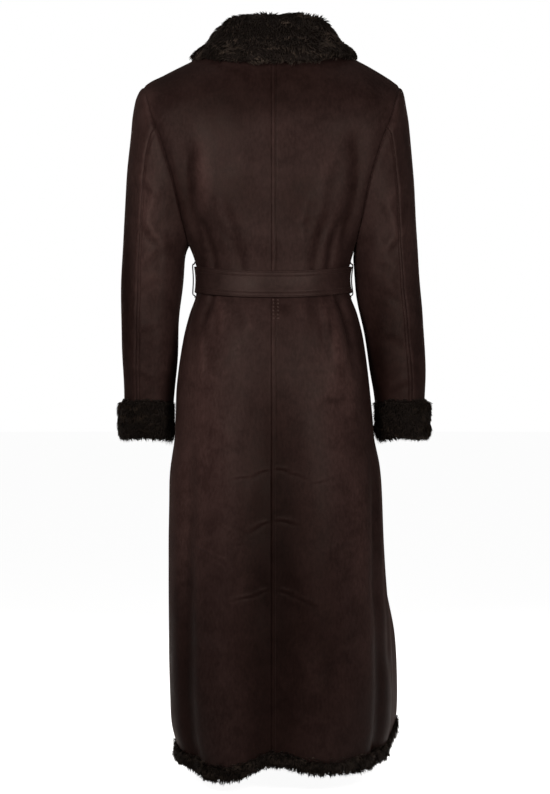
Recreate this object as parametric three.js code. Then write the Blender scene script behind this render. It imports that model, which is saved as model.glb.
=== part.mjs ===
// A long belted coat of bonded faux shearling, filled out as if worn, with fur collar, cuffs and hem.
// Millimetres, +Z up. The front faces -Y and the wearer's left is +X.
// The origin is the middle of the neck, level with the points where shoulder seams meet the neckline.
//
// The body is one closed tube of sections from the shoulders to the hem. A place on it is an angle
// round the body, measured from the centre back towards the wearer's left, and a height. Every panel,
// band and belt is worked out on that tube, so neighbours share their edges, apart from SEAM_GAP.
import * as THREE from 'three';

// ---------- driving sizes ----------

const WALL = 3; // suede face with its short pile backing
const SEAM_GAP = 0.3; // between pieces that are sewn edge to edge
const SQUARENESS = 2.35; // exponent of the body's sections: 2 is an ellipse

const NECK_HALF = 85; // half the width of the neckline
const NECK_DEPTH = 62; // how far the back neckline lies behind the shoulder points
const NAPE_DROP = 12; // how far the back neckline dips at its middle
const SHOULDER_TIP_Z = -66;
const SHOULDER_ROLL = 90; // height over which the body rounds over into the shoulder seam
const SHOULDER_FORWARD = 4; // the shoulder seam lies a little in front of the body's middle
const SHOULDER_SLOPE = { left: 0.36, right: 0.24 }; // at the neck
const SHOULDER_BEND = { left: 0.00095, right: 0.00183 }; // both reach the tip at the same height
const UNDERARM_Z = -339;
const BELT_Z = -400; // height of the belt's middle at the sides
const HEM_Z = -1241;

const HEM_BAND = { height: 27, thickness: 14 };
const BELT = { height: 45, thickness: 4, dip: 14, ease: 1.8 };
const CUFF = { top: -601, bottom: -677, proud: 11, inside: 1, thickness: 15 };

const BACK_COLUMNS = 16;
const NECK_COLUMNS = 6; // of the back's columns, those that end at the neckline
const FRONT_COLUMNS = 14;
const ARMHOLE_ROWS = 11; // rows of each panel from the underarm up to the shoulder
const BODY_ROWS = 19; // rows of each panel from the hem up to the underarm, closer towards the waist
const ARM_STEPS = 2 * ARMHOLE_ROWS; // points round a sleeve, so that it shares the armhole's points
const SLEEVE_ROWS = 15;

const DEG = Math.PI / 180;

// Half-widths to the wearer's left and right, and depths to the back and front, at each height.
const BODY = [
  { z: 0, left: 262, right: 262, back: 90, front: 60 },
  { z: -66, left: 262, right: 262, back: 98, front: 78 },
  { z: -100, left: 254, right: 254, back: 103, front: 92 },
  { z: -131, left: 243, right: 243, back: 107, front: 102 },
  { z: -162, left: 229, right: 229, back: 109, front: 110 },
  { z: -230, left: 200, right: 200, back: 111, front: 118 },
  { z: -291, left: 169, right: 170, back: 108, front: 115 },
  { z: -339, left: 143, right: 145, back: 103, front: 109 },
  { z: -372, left: 130.5, right: 134.5, back: 97, front: 101 },
  { z: -402, left: 127, right: 130, back: 94.5, front: 97.5 },
  { z: -432, left: 131, right: 136, back: 98, front: 99 },
  { z: -460, left: 141, right: 147, back: 109, front: 105 },
  { z: -504, left: 152, right: 158, back: 122, front: 113 },
  { z: -583, left: 163, right: 168, back: 135, front: 121 },
  { z: -640, left: 165, right: 174, back: 139, front: 124 },
  { z: -677, left: 167, right: 177, back: 141, front: 126 },
  { z: -720, left: 173, right: 186, back: 143, front: 127 },
  { z: -760, left: 175, right: 190, back: 145, front: 129 },
  { z: -870, left: 177, right: 194, back: 148, front: 133 },
  { z: -1050, left: 176, right: 201, back: 152, front: 140 },
  { z: -1160, left: 172, right: 203, back: 154, front: 144 },
  { z: -1210, left: 161, right: 194, back: 155, front: 146 },
  { z: -1241, left: 146, right: 184, back: 155, front: 146 },
];

// Where the armhole seam crosses each height, on the wearer's left. The right one mirrors its angles.
const ARMHOLE = [
  { z: -66, reach: 221 },
  { z: -100, reach: 212 },
  { z: -131, reach: 203 },
  { z: -162, reach: 190 },
  { z: -230, reach: 169 },
  { z: -291, reach: 155 },
  { z: -339, reach: 143 },
];

// The left front's free edge: how far it lies to the wearer's left of the centre front.
const FRONT_EDGE = [
  { z: 0, reach: 85 },
  { z: -60, reach: 81 },
  { z: -150, reach: 64 },
  { z: -250, reach: 40 },
  { z: -330, reach: 16 },
  { z: -375, reach: 2 },
  { z: -430, reach: -22 },
  { z: -520, reach: -50 },
  { z: -640, reach: -64 },
  { z: -900, reach: -72 },
  { z: -1241, reach: -75 },
];

// How far the left front lies inside the right one where they overlap, to make room for its fur hem.
const UNDERLAP = [
  { z: -300, inset: 3.9 },
  { z: -450, inset: 4.2 },
  { z: -900, inset: 10 },
  { z: -1241, inset: 18 },
];

// How far the hem rides up: the centre-back seam draws it in, and the right front hangs a little short.
const HEM_LIFT = [
  { at: -180, lift: 14 },
  { at: -135, lift: 12 },
  { at: -118, lift: 40 },
  { at: -106, lift: 50 },
  { at: -97, lift: 33 },
  { at: -88, lift: 17 },
  { at: -60, lift: 11 },
  { at: -38, lift: 12 },
  { at: -16, lift: 14 },
  { at: 0, lift: 24 },
  { at: 14, lift: 7 },
  { at: 32, lift: 0 },
  { at: 50, lift: 3 },
  { at: 68, lift: 14 },
  { at: 92, lift: 15 },
  { at: 130, lift: 10 },
  { at: 180, lift: 14 },
];

// Soft folds: the angle at their top, how far they lean by their bottom, their half-width in degrees,
// the heights between which they are deep, and how far they push the cloth out (or in, below 0).
const FOLDS = [
  { at: 0, lean: 0, width: 9, top: -760, bottom: -1300, fade: 240, push: -13 }, // centre-back channel
  { at: 22, lean: 2, width: 13, top: -820, bottom: -1300, fade: 260, push: 5 },
  { at: -24, lean: 0, width: 13, top: -800, bottom: -1300, fade: 260, push: 6 },
  { at: 53, lean: 0, width: 8, top: -820, bottom: -1300, fade: 220, push: -11 }, // left side of the skirt
  { at: -68, lean: 2, width: 8, top: -830, bottom: -1300, fade: 200, push: -10 }, // right side
  { at: -110, lean: -3, width: 15, top: -1080, bottom: -1300, fade: 260, push: 28 }, // right front's flare
  { at: 128, lean: 4, width: 9, top: -760, bottom: -1300, fade: 240, push: -9 },
  { at: -140, lean: -3, width: 9, top: -700, bottom: -1300, fade: 240, push: -9 },
  { at: 40, lean: 15, width: 6, top: -205, bottom: -318, fade: 45, push: -6 }, // underarm, left back
  { at: -38, lean: -17, width: 6, top: -180, bottom: -318, fade: 45, push: -6 }, // underarm, right back
  { at: 132, lean: -10, width: 7, top: -200, bottom: -318, fade: 45, push: -5 },
  { at: -131, lean: 9, width: 7, top: -190, bottom: -318, fade: 45, push: -5 },
  { at: 46, lean: 1, width: 5, top: -318, bottom: -372, fade: 40, push: -5 }, // gathers above the belt
  { at: 24, lean: -3, width: 5, top: -310, bottom: -372, fade: 50, push: -4 },
  { at: -31, lean: 0, width: 5, top: -322, bottom: -372, fade: 40, push: -4 },
  { at: -45, lean: -1, width: 5, top: -318, bottom: -372, fade: 40, push: -5 },
  { at: 48, lean: 2, width: 5, top: -430, bottom: -470, fade: 40, push: -5 }, // gathers below the belt
  { at: -57, lean: 0, width: 6, top: -430, bottom: -535, fade: 50, push: -9 },
  { at: -40, lean: 2, width: 8, top: -500, bottom: -560, fade: 60, push: 4 },
  { at: 130, lean: 2, width: 6, top: -430, bottom: -500, fade: 50, push: -6 },
  { at: -128, lean: -2, width: 6, top: -430, bottom: -520, fade: 50, push: -6 },
];

// The sleeve's outer and inner lines seen from behind, its half-depths, and how far it comes forward.
const SLEEVE = [
  { row: 0, outX: 221, outZ: -66, inX: 143, inZ: -339, back: 72, front: 66, forward: 4 },
  { row: 1, outX: 229, outZ: -77, inX: 145.5, inZ: -342, back: 73, front: 68, forward: 4 },
  { row: 2, outX: 236, outZ: -97, inX: 147.5, inZ: -347, back: 73, front: 69, forward: 4 },
  { row: 3, outX: 243, outZ: -130, inX: 149, inZ: -355, back: 72, front: 69, forward: 4 },
  { row: 5, outX: 251, outZ: -206, inX: 151, inZ: -380, back: 69, front: 68, forward: 5 },
  { row: 7, outX: 256, outZ: -290, inX: 154.5, inZ: -420, back: 65, front: 65, forward: 7 },
  { row: 9, outX: 259.5, outZ: -380, inX: 159.5, inZ: -468, back: 61, front: 61, forward: 10 },
  { row: 11, outX: 262, outZ: -468, inX: 164.5, inZ: -520, back: 57, front: 57, forward: 15 },
  { row: 13, outX: 262, outZ: -548, inX: 168.5, inZ: -568, back: 53, front: 53, forward: 21 },
  { row: 15, outX: 260, outZ: -606, inX: 171.5, inZ: -606, back: 49, front: 49, forward: 26 },
];
const SLEEVE_SEAMS = { back: 4, front: 17 }; // steps round the sleeve from its outer line, backwards first
const RIGHT_SLEEVE_SWING = { arm: -5, wrist: 15 }; // the right arm hangs closer in, then swings out

// Cross-folds of the sleeves: row, step round, half-widths of each, and push.
const SLEEVE_FOLDS = [
  { row: 9.5, step: 6, rows: 0.9, steps: 3.5, push: -3 },
  { row: 11.6, step: 4, rows: 0.8, steps: 3, push: -2.5 },
  { row: 4.5, step: 8, rows: 1.2, steps: 2.2, push: -4 },
  { row: 8, step: 16, rows: 1, steps: 3, push: -3 },
  { row: 10.5, step: 18, rows: 0.9, steps: 3, push: -3 },
];

// The collar from the centre back (0) to its front end: how far the stand rises across the neckline,
// how far the roll leans out, where the fall ends (out, and along), and the thickness of stand and fall.
const COLLAR = [
  { place: 0, rise: 54, lean: 17, reach: 50, drop: -38, stand: 7, fall: 13 },
  { place: 1, rise: 51, lean: 16, reach: 51, drop: -36, stand: 7, fall: 13 },
  { place: 2, rise: 35, lean: 13, reach: 58, drop: -21, stand: 7, fall: 13 },
  { place: 3, rise: 16, lean: 12, reach: 57, drop: -10, stand: 6, fall: 13 },
  { place: 4, rise: 15, lean: 13, reach: 50, drop: -36, stand: 5, fall: 12 },
  { place: 5, rise: 16, lean: 12, reach: 28, drop: -66, stand: 4, fall: 11 },
  { place: 6, rise: 12, lean: 10, reach: 17, drop: -76, stand: 3.4, fall: 10 },
  { place: 8, rise: 9, lean: 8, reach: 13, drop: -66, stand: 3.2, fall: 9 },
  { place: 10, rise: 7, lean: 7, reach: 11, drop: -34, stand: 3, fall: 7 },
];
const COLLAR_SWAY = 6; // the roll and the fall sit this much to the wearer's right of the neckline
const COLLAR_SHOULDER = 3; // the place where the neckline meets the shoulder seam
const COLLAR_FRONT_ROWS = 10; // rows of the front panel that the collar's edge follows

// ---------- numbers and vectors ----------

const vec = (x, y, z) => new THREE.Vector3(x, y, z);
const clamp = (value, low, high) => Math.min(high, Math.max(low, value));
const mix = (a, b, share) => a + (b - a) * share;

function smooth(from, to, value) {
  const share = clamp((value - from) / (to - from), 0, 1);
  return share * share * (3 - 2 * share);
}

/** A named column of a table at a place along it, through the rows in a smooth curve. */
function read(table, column, place, along = 'z') {
  const rising = table.at(-1)[along] > table[0][along] ? 1 : -1;
  const at = rising * place;
  const spots = table.map((row) => rising * row[along]);
  if (at <= spots[0]) return table[0][column];
  if (at >= spots.at(-1)) return table.at(-1)[column];
  const k = spots.findIndex((spot) => spot > at) - 1;
  const slope = (i) => {
    const low = Math.max(0, i - 1);
    const high = Math.min(table.length - 1, i + 1);
    return (table[high][column] - table[low][column]) / (spots[high] - spots[low]);
  };
  const span = spots[k + 1] - spots[k];
  const t = (at - spots[k]) / span;
  const start = table[k][column];
  const end = table[k + 1][column];
  const bend = t * t * (3 - 2 * t);
  return mix(start, end, bend) + span * t * (1 - t) * (slope(k) * (1 - t) - slope(k + 1) * t);
}

// ---------- the body's tube ----------

/** Height of the neckline and shoulder seams above a place on either side of the centre. */
function topEdge(x) {
  const reach = Math.abs(x);
  if (reach < NECK_HALF) return -NAPE_DROP * (1 - (reach / NECK_HALF) ** 2);
  const past = reach - NECK_HALF;
  const side = x < 0 ? 'right' : 'left';
  return -SHOULDER_SLOPE[side] * past - SHOULDER_BEND[side] * past * past;
}

/** The smooth body at an angle and height, before folds. */
function form(angle, z) {
  const sine = Math.sin(angle);
  const cosine = Math.cos(angle);
  const power = 2 / SQUARENESS;
  const x = Math.sign(sine) * read(BODY, sine < 0 ? 'right' : 'left', z) * Math.abs(sine) ** power;
  const facing = cosine < 0 ? -1 : 1;
  const depth = read(BODY, cosine < 0 ? 'front' : 'back', z) * Math.abs(cosine) ** power;
  const below = clamp((topEdge(x) - z) / SHOULDER_ROLL, 0, 1);
  const roll = (1 - (1 - below) ** 2.2) ** (1 / 2.2);
  const inNeck = facing > 0 ? Math.sqrt(Math.max(0, 1 - (x / NECK_HALF) ** 2)) : 0;
  const seam = NECK_DEPTH * inNeck - SHOULDER_FORWARD * (1 - inNeck);
  return vec(x, mix(seam, facing * depth, roll), z);
}

/** The direction square to a surface that two numbers place, on its outer side. */
function outward(place, a, b, stepA, stepB) {
  const along = place(a + stepA, b).sub(place(a - stepA, b));
  const up = place(a, b + stepB).sub(place(a, b - stepB));
  return up.cross(along).normalize();
}

const formOut = (angle, z) => outward(form, angle, z, 0.01, 1);

function foldPush(angle, z) {
  let push = 0;
  for (const fold of FOLDS) {
    const down = clamp((fold.top - z) / (fold.top - fold.bottom), -0.3, 1.3);
    let off = angle / DEG - (fold.at + fold.lean * down);
    off -= 360 * Math.round(off / 360);
    const reach = smooth(fold.top + fold.fade, fold.top, z) * smooth(fold.bottom - fold.fade, fold.bottom, z);
    push += fold.push * reach * Math.exp(-((off / fold.width) ** 2));
  }
  return push;
}

/** The body's outer face with its folds. */
function skin(angle, z) {
  return form(angle, z).addScaledVector(formOut(angle, z), foldPush(angle, z));
}

/** The angle of a place beside the centre back, or beside the centre front. */
function angleAt(x, z, front) {
  const half = read(BODY, x < 0 ? 'right' : 'left', z);
  const turn = Math.asin(clamp(Math.abs(x) / half, 0, 1) ** (SQUARENESS / 2));
  return Math.sign(x) * (front ? Math.PI - turn : turn);
}

/** The share of the way from the underarm to the shoulder at a row of the armhole. */
const armholeClimb = (row) => (1 - Math.cos((Math.PI * row) / ARMHOLE_ROWS)) / 2;

// ---------- closed solids ----------

/** A mesh of one closed body, turned so that its faces point outwards. */
function solid(name, look, points, triangles) {
  let volume = 0;
  for (const [a, b, c] of triangles) {
    volume += points[a].dot(points[b].clone().cross(points[c]));
  }
  const indices = triangles.flatMap(([a, b, c]) => (volume > 0 ? [a, b, c] : [a, c, b]));
  const geometry = new THREE.BufferGeometry();
  const numbers = points.flatMap((p) => [p.x, p.y, p.z]);
  geometry.setAttribute('position', new THREE.Float32BufferAttribute(numbers, 3));
  geometry.setIndex(indices);
  geometry.computeVertexNormals();
  const mesh = new THREE.Mesh(geometry, new THREE.MeshStandardMaterial(look));
  mesh.name = name;
  return mesh;
}

/** A wall between two open grids of points, rows[row][column], joined round their rim. */
function wall(name, look, outer, inner) {
  const rows = outer.length;
  const columns = outer[0].length;
  const points = [...outer.flat(), ...inner.flat()];
  const at = (layer, row, column) => (layer * rows + row) * columns + column;
  const triangles = [];
  const quad = (a, b, c, d) => triangles.push([a, b, c], [a, c, d]);
  for (let r = 0; r + 1 < rows; r += 1) {
    for (let c = 0; c + 1 < columns; c += 1) {
      quad(at(0, r, c), at(0, r, c + 1), at(0, r + 1, c + 1), at(0, r + 1, c));
      quad(at(1, r, c), at(1, r + 1, c), at(1, r + 1, c + 1), at(1, r, c + 1));
    }
    const end = columns - 1;
    quad(at(0, r, 0), at(0, r + 1, 0), at(1, r + 1, 0), at(1, r, 0));
    quad(at(0, r + 1, end), at(0, r, end), at(1, r, end), at(1, r + 1, end));
  }
  for (let c = 0; c + 1 < columns; c += 1) {
    const end = rows - 1;
    quad(at(0, 0, c + 1), at(0, 0, c), at(1, 0, c), at(1, 0, c + 1));
    quad(at(0, end, c), at(0, end, c + 1), at(1, end, c + 1), at(1, end, c));
  }
  return solid(name, look, points, triangles);
}

/** A body swept through closed outlines of equal length, as a ring or with flat ends. */
function sweep(name, look, outlines, { ring = false, flatEnd = null } = {}) {
  const sides = outlines[0].length;
  const points = outlines.flat();
  const triangles = [];
  const spans = ring ? outlines.length : outlines.length - 1;
  for (let s = 0; s < spans; s += 1) {
    const here = s * sides;
    const next = ((s + 1) % outlines.length) * sides;
    for (let k = 0; k < sides; k += 1) {
      const beside = (k + 1) % sides;
      triangles.push([here + k, here + beside, next + beside], [here + k, next + beside, next + k]);
    }
  }
  if (!ring) {
    const last = (outlines.length - 1) * sides;
    for (const [a, b, c] of THREE.ShapeUtils.triangulateShape(flatEnd, [])) {
      triangles.push([a, c, b], [last + a, last + b, last + c]);
    }
    // A flat end given clockwise faces the other way, so both ends turn over together.
    if (THREE.ShapeUtils.isClockWise(flatEnd)) {
      const first = triangles.length - 2 * (sides - 2);
      for (let t = first; t < triangles.length; t += 1) triangles[t].reverse();
    }
  }
  return solid(name, look, points, triangles);
}

/** A rectangle with rounded corners, as [out, up] pairs about its middle. */
function roundedBox(width, height, corner) {
  const cornerPoints = 2;
  const outline = [];
  for (let quarter = 0; quarter < 4; quarter += 1) {
    const sideX = quarter === 0 || quarter === 3 ? 1 : -1;
    const sideY = quarter < 2 ? 1 : -1;
    for (let k = 0; k < cornerPoints; k += 1) {
      const turn = (quarter + k / (cornerPoints - 1)) * 90 * DEG;
      const x = sideX * (width / 2 - corner) + corner * Math.cos(turn);
      const y = sideY * (height / 2 - corner) + corner * Math.sin(turn);
      outline.push(new THREE.Vector2(x, y));
    }
  }
  return outline;
}

// ---------- looks ----------

const SUEDE = { color: 0x2e211f, roughness: 0.88, metalness: 0 };
const FUR = { color: 0x1e1614, roughness: 0.95, metalness: 0 };

// ---------- sleeves ----------

/** A point of the armhole seam on the body, from the shoulder tip (0) backwards round. */
function armholePoint(turn, side) {
  const middle = (SHOULDER_TIP_Z + UNDERARM_Z) / 2;
  const z = middle + (SHOULDER_TIP_Z - middle) * Math.cos(turn);
  return skin(side * armholeAngle(z, Math.sin(turn) < -1e-9), z);
}

function armholeAngle(z, front) {
  return angleAt(read(ARMHOLE, 'reach', z), z, front);
}

/** The sleeve's smooth outer face: a turn round it from its outer line, and a row along it. */
function sleeveForm(turn, row, side) {
  const { arm, wrist } = RIGHT_SLEEVE_SWING;
  const swing = side < 0 ? arm * smooth(0, 4, row) + wrist * smooth(7, SLEEVE_ROWS, row) : 0;
  const outer = vec(read(SLEEVE, 'outX', row, 'row') + swing, 0, read(SLEEVE, 'outZ', row, 'row'));
  const inner = vec(read(SLEEVE, 'inX', row, 'row') + swing, 0, read(SLEEVE, 'inZ', row, 'row'));
  const depth = read(SLEEVE, Math.sin(turn) < 0 ? 'front' : 'back', row, 'row') * Math.sin(turn);
  const point = outer.clone().lerp(inner, (1 - Math.cos(turn)) / 2);
  point.y = depth - read(SLEEVE, 'forward', row, 'row');
  point.x *= side;
  return point;
}

function sleeveSkin(turn, row, side) {
  const point = sleeveForm(turn, row, side);
  const held = (1 - smooth(0, 5, row)) ** 1.5;
  if (held > 0) {
    const start = sleeveForm(turn, 0, side);
    point.addScaledVector(armholePoint(turn, side).sub(start), held);
  }
  const step = ((turn / (2 * Math.PI)) * ARM_STEPS + ARM_STEPS) % ARM_STEPS;
  for (const fold of SLEEVE_FOLDS) {
    const across = (step - fold.step) / fold.steps;
    const alongArm = (row - fold.row) / fold.rows;
    const push = fold.push * Math.exp(-across * across - alongArm * alongArm);
    const middle = sleeveForm(turn, row, side).add(sleeveForm(turn + Math.PI, row, side)).divideScalar(2);
    point.addScaledVector(point.clone().sub(middle).normalize(), push);
  }
  return point;
}

function sleeveOut(turn, row, side) {
  const place = (a, b) => sleeveSkin(a, b, side);
  const at = clamp(row, 0.05, SLEEVE_ROWS - 0.05);
  return outward(place, turn, at, 0.02, 0.05).multiplyScalar(side);
}

/** At the armhole, body and sleeve share one direction for their thickness, unless they fold back. */
function seamOut(own, other) {
  const together = smooth(-0.3, 0.5, own.dot(other));
  return own.clone().addScaledVector(other, together).normalize();
}

function bodyOutAtArmhole(turn, side) {
  const middle = (SHOULDER_TIP_Z + UNDERARM_Z) / 2;
  const z = middle + (SHOULDER_TIP_Z - middle) * Math.cos(turn);
  return skinOut(side * armholeAngle(z, Math.sin(turn) < -1e-9), z);
}

function sleevePiece(name, side, firstStep, lastStep) {
  const outer = [];
  const inner = [];
  for (let row = 0; row <= SLEEVE_ROWS; row += 1) {
    const outerRow = [];
    const innerRow = [];
    for (let step = firstStep; step <= lastStep; step += 1) {
      const turn = (step / ARM_STEPS) * 2 * Math.PI;
      const point = sleeveSkin(turn, row, side);
      let out = sleeveOut(turn, row, side);
      if (row === 0) {
        out = seamOut(out, bodyOutAtArmhole(turn, side));
        point.x += side * SEAM_GAP * 1.5;
      }
      const seam = step === firstStep ? 1 : step === lastStep ? -1 : 0;
      if (seam !== 0) {
        const ahead = sleeveSkin(turn + 0.01, row, side).sub(sleeveSkin(turn - 0.01, row, side));
        point.addScaledVector(ahead.normalize(), (seam * SEAM_GAP) / 2);
      }
      outerRow.push(point);
      innerRow.push(point.clone().addScaledVector(out, -WALL));
    }
    outer.push(outerRow);
    inner.push(innerRow);
  }
  return wall(name, SUEDE, outer, inner);
}

// ---------- body panels ----------

function skinOut(angle, z) {
  const top = topEdge(form(angle, z).x);
  return outward((a, b) => skin(a, Math.min(b, top)), angle, Math.min(z, top - 0.6), 0.01, 0.6);
}

/** How far out each column of a panel meets the neckline or the shoulder seam. */
function topReach(column, columns, front) {
  const tip = ARMHOLE[0].reach;
  if (front) return mix(NECK_HALF, tip, column / columns);
  if (column <= NECK_COLUMNS) return NECK_HALF * Math.sin((column / NECK_COLUMNS) * 90 * DEG);
  return mix(NECK_HALF, tip, (column - NECK_COLUMNS) / (columns - NECK_COLUMNS));
}

function topShare(reach, front) {
  const start = front ? angleAt(NECK_HALF, 0, true) : 0;
  const end = armholeAngle(SHOULDER_TIP_Z, front);
  return (angleAt(reach, 0, front) - start) / (end - start);
}

/** How far the left front is tucked under the right one. */
function underlap(point) {
  const lapped = smooth(120, 86, point.x) * (point.y < 0 ? 1 : 0);
  return lapped * smooth(-230, -330, point.z) * read(UNDERLAP, 'inset', point.z);
}

/**
 * One panel from the hem to the shoulder. edgeAngle gives its inner edge (centre back or front edge)
 * at a height, and its outer edge is the side seam and then the armhole.
 */
function panel(name, side, front, columns, edgeAngle, topAtEdge) {
  const outer = [];
  const inner = [];
  const isUnder = front && side > 0;
  const rowCount = BODY_ROWS + ARMHOLE_ROWS;
  for (let row = 0; row <= rowCount; row += 1) {
    const outerRow = [];
    const innerRow = [];
    const above = row > BODY_ROWS;
    const turn = Math.PI * (1 - (row - BODY_ROWS) / ARMHOLE_ROWS);
    const climb = above ? armholeClimb(row - BODY_ROWS) : 0;
    const panelHem = HEM_Z + HEM_BAND.height;
    const lowZ = mix(panelHem, UNDERARM_Z, 1 - Math.max(0, 1 - row / BODY_ROWS) ** 1.4);
    const seamZ = above ? mix(UNDERARM_Z, SHOULDER_TIP_Z, climb) : lowZ;
    const edgeZ = above ? mix(UNDERARM_Z, topAtEdge, climb) : lowZ;
    const seamAngle = above ? armholeAngle(seamZ, front) : Math.PI / 2;
    for (let column = 0; column <= columns; column += 1) {
      const reach = topReach(column, columns, front);
      const share = mix(column / columns, topShare(reach, front), climb);
      const angle = side * mix(edgeAngle(edgeZ), seamAngle, share);
      let z = lowZ + (above ? 0 : hemLift(angle) * (1 - row / BODY_ROWS) ** 6);
      if (above) z = mix(UNDERARM_Z, topEdge(side * reach), climb);
      const point = skin(angle, z);
      let out = skinOut(angle, z);
      if (isUnder) point.addScaledVector(out, -underlap(point));
      if (above && column === columns) {
        const round = front ? -turn : turn;
        point.copy(armholePoint(round, side));
        out = seamOut(out, sleeveOut(round, 0, side));
      }
      if (row === rowCount && reach >= NECK_HALF) {
        point.y += ((front ? -1 : 1) * SEAM_GAP) / 2;
        out.setY(0).normalize();
      }
      if (column === 0 && !front) point.x += (side * SEAM_GAP) / 2;
      if (column === columns && !above) point.y += ((front ? -1 : 1) * SEAM_GAP) / 2;
      outerRow.push(point);
      innerRow.push(point.clone().addScaledVector(out, -WALL));
    }
    outer.push(outerRow);
    inner.push(innerRow);
  }
  return wall(name, SUEDE, outer, inner);
}

/** How far the hem rides up at an angle round the body. */
function hemLift(angle) {
  const turned = angle / DEG - 360 * Math.round(angle / DEG / 360);
  return read(HEM_LIFT, 'lift', turned, 'at');
}

const backEdge = () => 0;
const frontEdge = (z) => {
  const reach = read(FRONT_EDGE, 'reach', z);
  return reach >= 0 ? angleAt(reach, z, true) : 2 * Math.PI + angleAt(reach, z, true);
};

// ---------- fur hem bands ----------

function hemBand(name, isUnder, fromAngle, toAngle, columns) {
  const box = roundedBox(HEM_BAND.thickness, HEM_BAND.height - SEAM_GAP, 5);
  const outlines = [];
  for (let column = 0; column <= columns; column += 1) {
    const share = column / columns;
    const angle = mix(fromAngle, toAngle, share);
    const z = HEM_Z + HEM_BAND.height + hemLift(angle);
    const out = skinOut(angle, z);
    const centre = skin(angle, z);
    if (isUnder) centre.addScaledVector(out, -underlap(centre));
    out.z = 0;
    out.normalize();
    centre.addScaledVector(out, -WALL / 2);
    centre.z -= HEM_BAND.height / 2 + SEAM_GAP / 2;
    const end = smooth(0, 0.03, share) * smooth(1, 0.97, share);
    const size = mix(0.72, 1, end);
    outlines.push(
      box.map((p) => centre.clone().addScaledVector(out, p.x * size).add(vec(0, 0, p.y * size)))
    );
  }
  return sweep(name, FUR, outlines, { flatEnd: box });
}

// ---------- belt, its loops and its knot ----------

const beltZ = (angle) => BELT_Z - BELT.dip * Math.max(0, Math.cos(angle)) ** 1.5;

function beltRing() {
  const box = roundedBox(BELT.thickness, BELT.height, 1.6);
  const steps = 2 * (BACK_COLUMNS + FRONT_COLUMNS);
  const outlines = [];
  for (let step = 0; step < steps; step += 1) {
    const angle = ((step + 0.5) / steps) * 2 * Math.PI - Math.PI;
    const z = beltZ(angle);
    const out = formOut(angle, z);
    out.z = 0;
    out.normalize();
    outlines.push(
      box.map((p) => {
        const at = form(angle, z + p.y);
        const off = BELT.ease + BELT.thickness / 2 + p.x;
        return at.addScaledVector(out, off);
      })
    );
  }
  return sweep('belt', SUEDE, outlines, { ring: true });
}

function beltLoop(name, side) {
  const angle = (side * Math.PI) / 2;
  const width = 9;
  const thick = 1.6;
  const route = [
    { rise: 31, off: 1.4 },
    { rise: 28, off: 2.4 },
    { rise: 25, off: 6.4 },
    { rise: 12, off: 8 },
    { rise: -12, off: 8 },
    { rise: -25, off: 6.4 },
    { rise: -28, off: 2.4 },
    { rise: -31, off: 1.4 },
  ];
  const strip = roundedBox(thick, width, 0.5);
  const outlines = route.map((stop, k) => {
    const before = route[Math.max(0, k - 1)];
    const after = route[Math.min(route.length - 1, k + 1)];
    const lean = Math.atan2(after.off - before.off, before.rise - after.rise);
    const z = beltZ(angle) + stop.rise;
    const base = form(angle, z);
    base.x += side * (stop.off + thick / 2);
    return strip.map((p) => vec(
      base.x + side * p.x * Math.cos(lean),
      base.y + p.y,
      base.z + p.x * Math.sin(lean)
    ));
  });
  return sweep(name, SUEDE, outlines, { flatEnd: strip });
}

const KNOT = { width: 46, height: 40, depth: 24 };

function knotSpot() {
  const spot = form(Math.PI, BELT_Z);
  spot.y -= BELT.ease + BELT.thickness + KNOT.depth / 2 + 1.9;
  return spot;
}

function beltKnot() {
  const spot = knotSpot();
  const across = 14;
  const outlines = [];
  const sides = 12;
  for (let k = 0; k <= across; k += 1) {
    const place = mix(-0.96, 0.96, k / across);
    const size = Math.sqrt(1 - place * place) ** 0.6 * (1 + 0.1 * Math.cos(place * 9));
    const outline = [];
    for (let s = 0; s < sides; s += 1) {
      const turn = (s / sides) * 2 * Math.PI;
      const up = Math.sin(turn) * (KNOT.height / 2) * size * (1 - 0.12 * place);
      const out = Math.sign(Math.cos(turn)) * Math.abs(Math.cos(turn)) ** 0.8 * (KNOT.depth / 2) * size;
      outline.push(vec((place * KNOT.width) / 2 + up * 0.22, spot.y - out * 0.9, spot.z + up));
    }
    outlines.push(outline);
  }
  const flat = outlines[0].map((p) => new THREE.Vector2(p.y, p.z));
  return sweep('belt_knot', SUEDE, outlines, { flatEnd: flat });
}

/** A hanging end of the belt; below says how far under the knot's half-height it begins. */
function beltEnd(name, side, { length, slant, below }) {
  const strip = roundedBox(BELT.thickness, BELT.height, 1.6);
  const rows = 14;
  const outlines = [];
  const top = BELT_Z - KNOT.height / 2 - below;
  for (let row = 0; row <= rows; row += 1) {
    const down = row / rows;
    const z = top - length * down;
    const middle = side * (12.5 + 11 * smooth(0, 0.16, down) + slant * down);
    const squeeze = mix(0.5, 1, smooth(0, 0.16, down));
    outlines.push(
      strip.map((p) => {
        const x = middle + p.y * squeeze;
        const rest = skin(angleAt(x, z, true), z).y;
        const calm = form(angleAt(x, z, true), z).y;
        const held = mix(knotSpot().y + 1, Math.min(rest, calm) - 5, smooth(0, 0.3, down));
        const wave = 2.2 * Math.sin(down * 7 + side) * squeeze * Math.sin((p.y / BELT.height) * 3);
        return vec(x, Math.min(held, calm - 4.5) + Math.min(0, wave) - p.x, z + side * p.y * 0.05);
      })
    );
  }
  return sweep(name, SUEDE, outlines, { flatEnd: strip.map((p) => new THREE.Vector2(p.x, p.y)) });
}

// ---------- fur cuffs ----------

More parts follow.
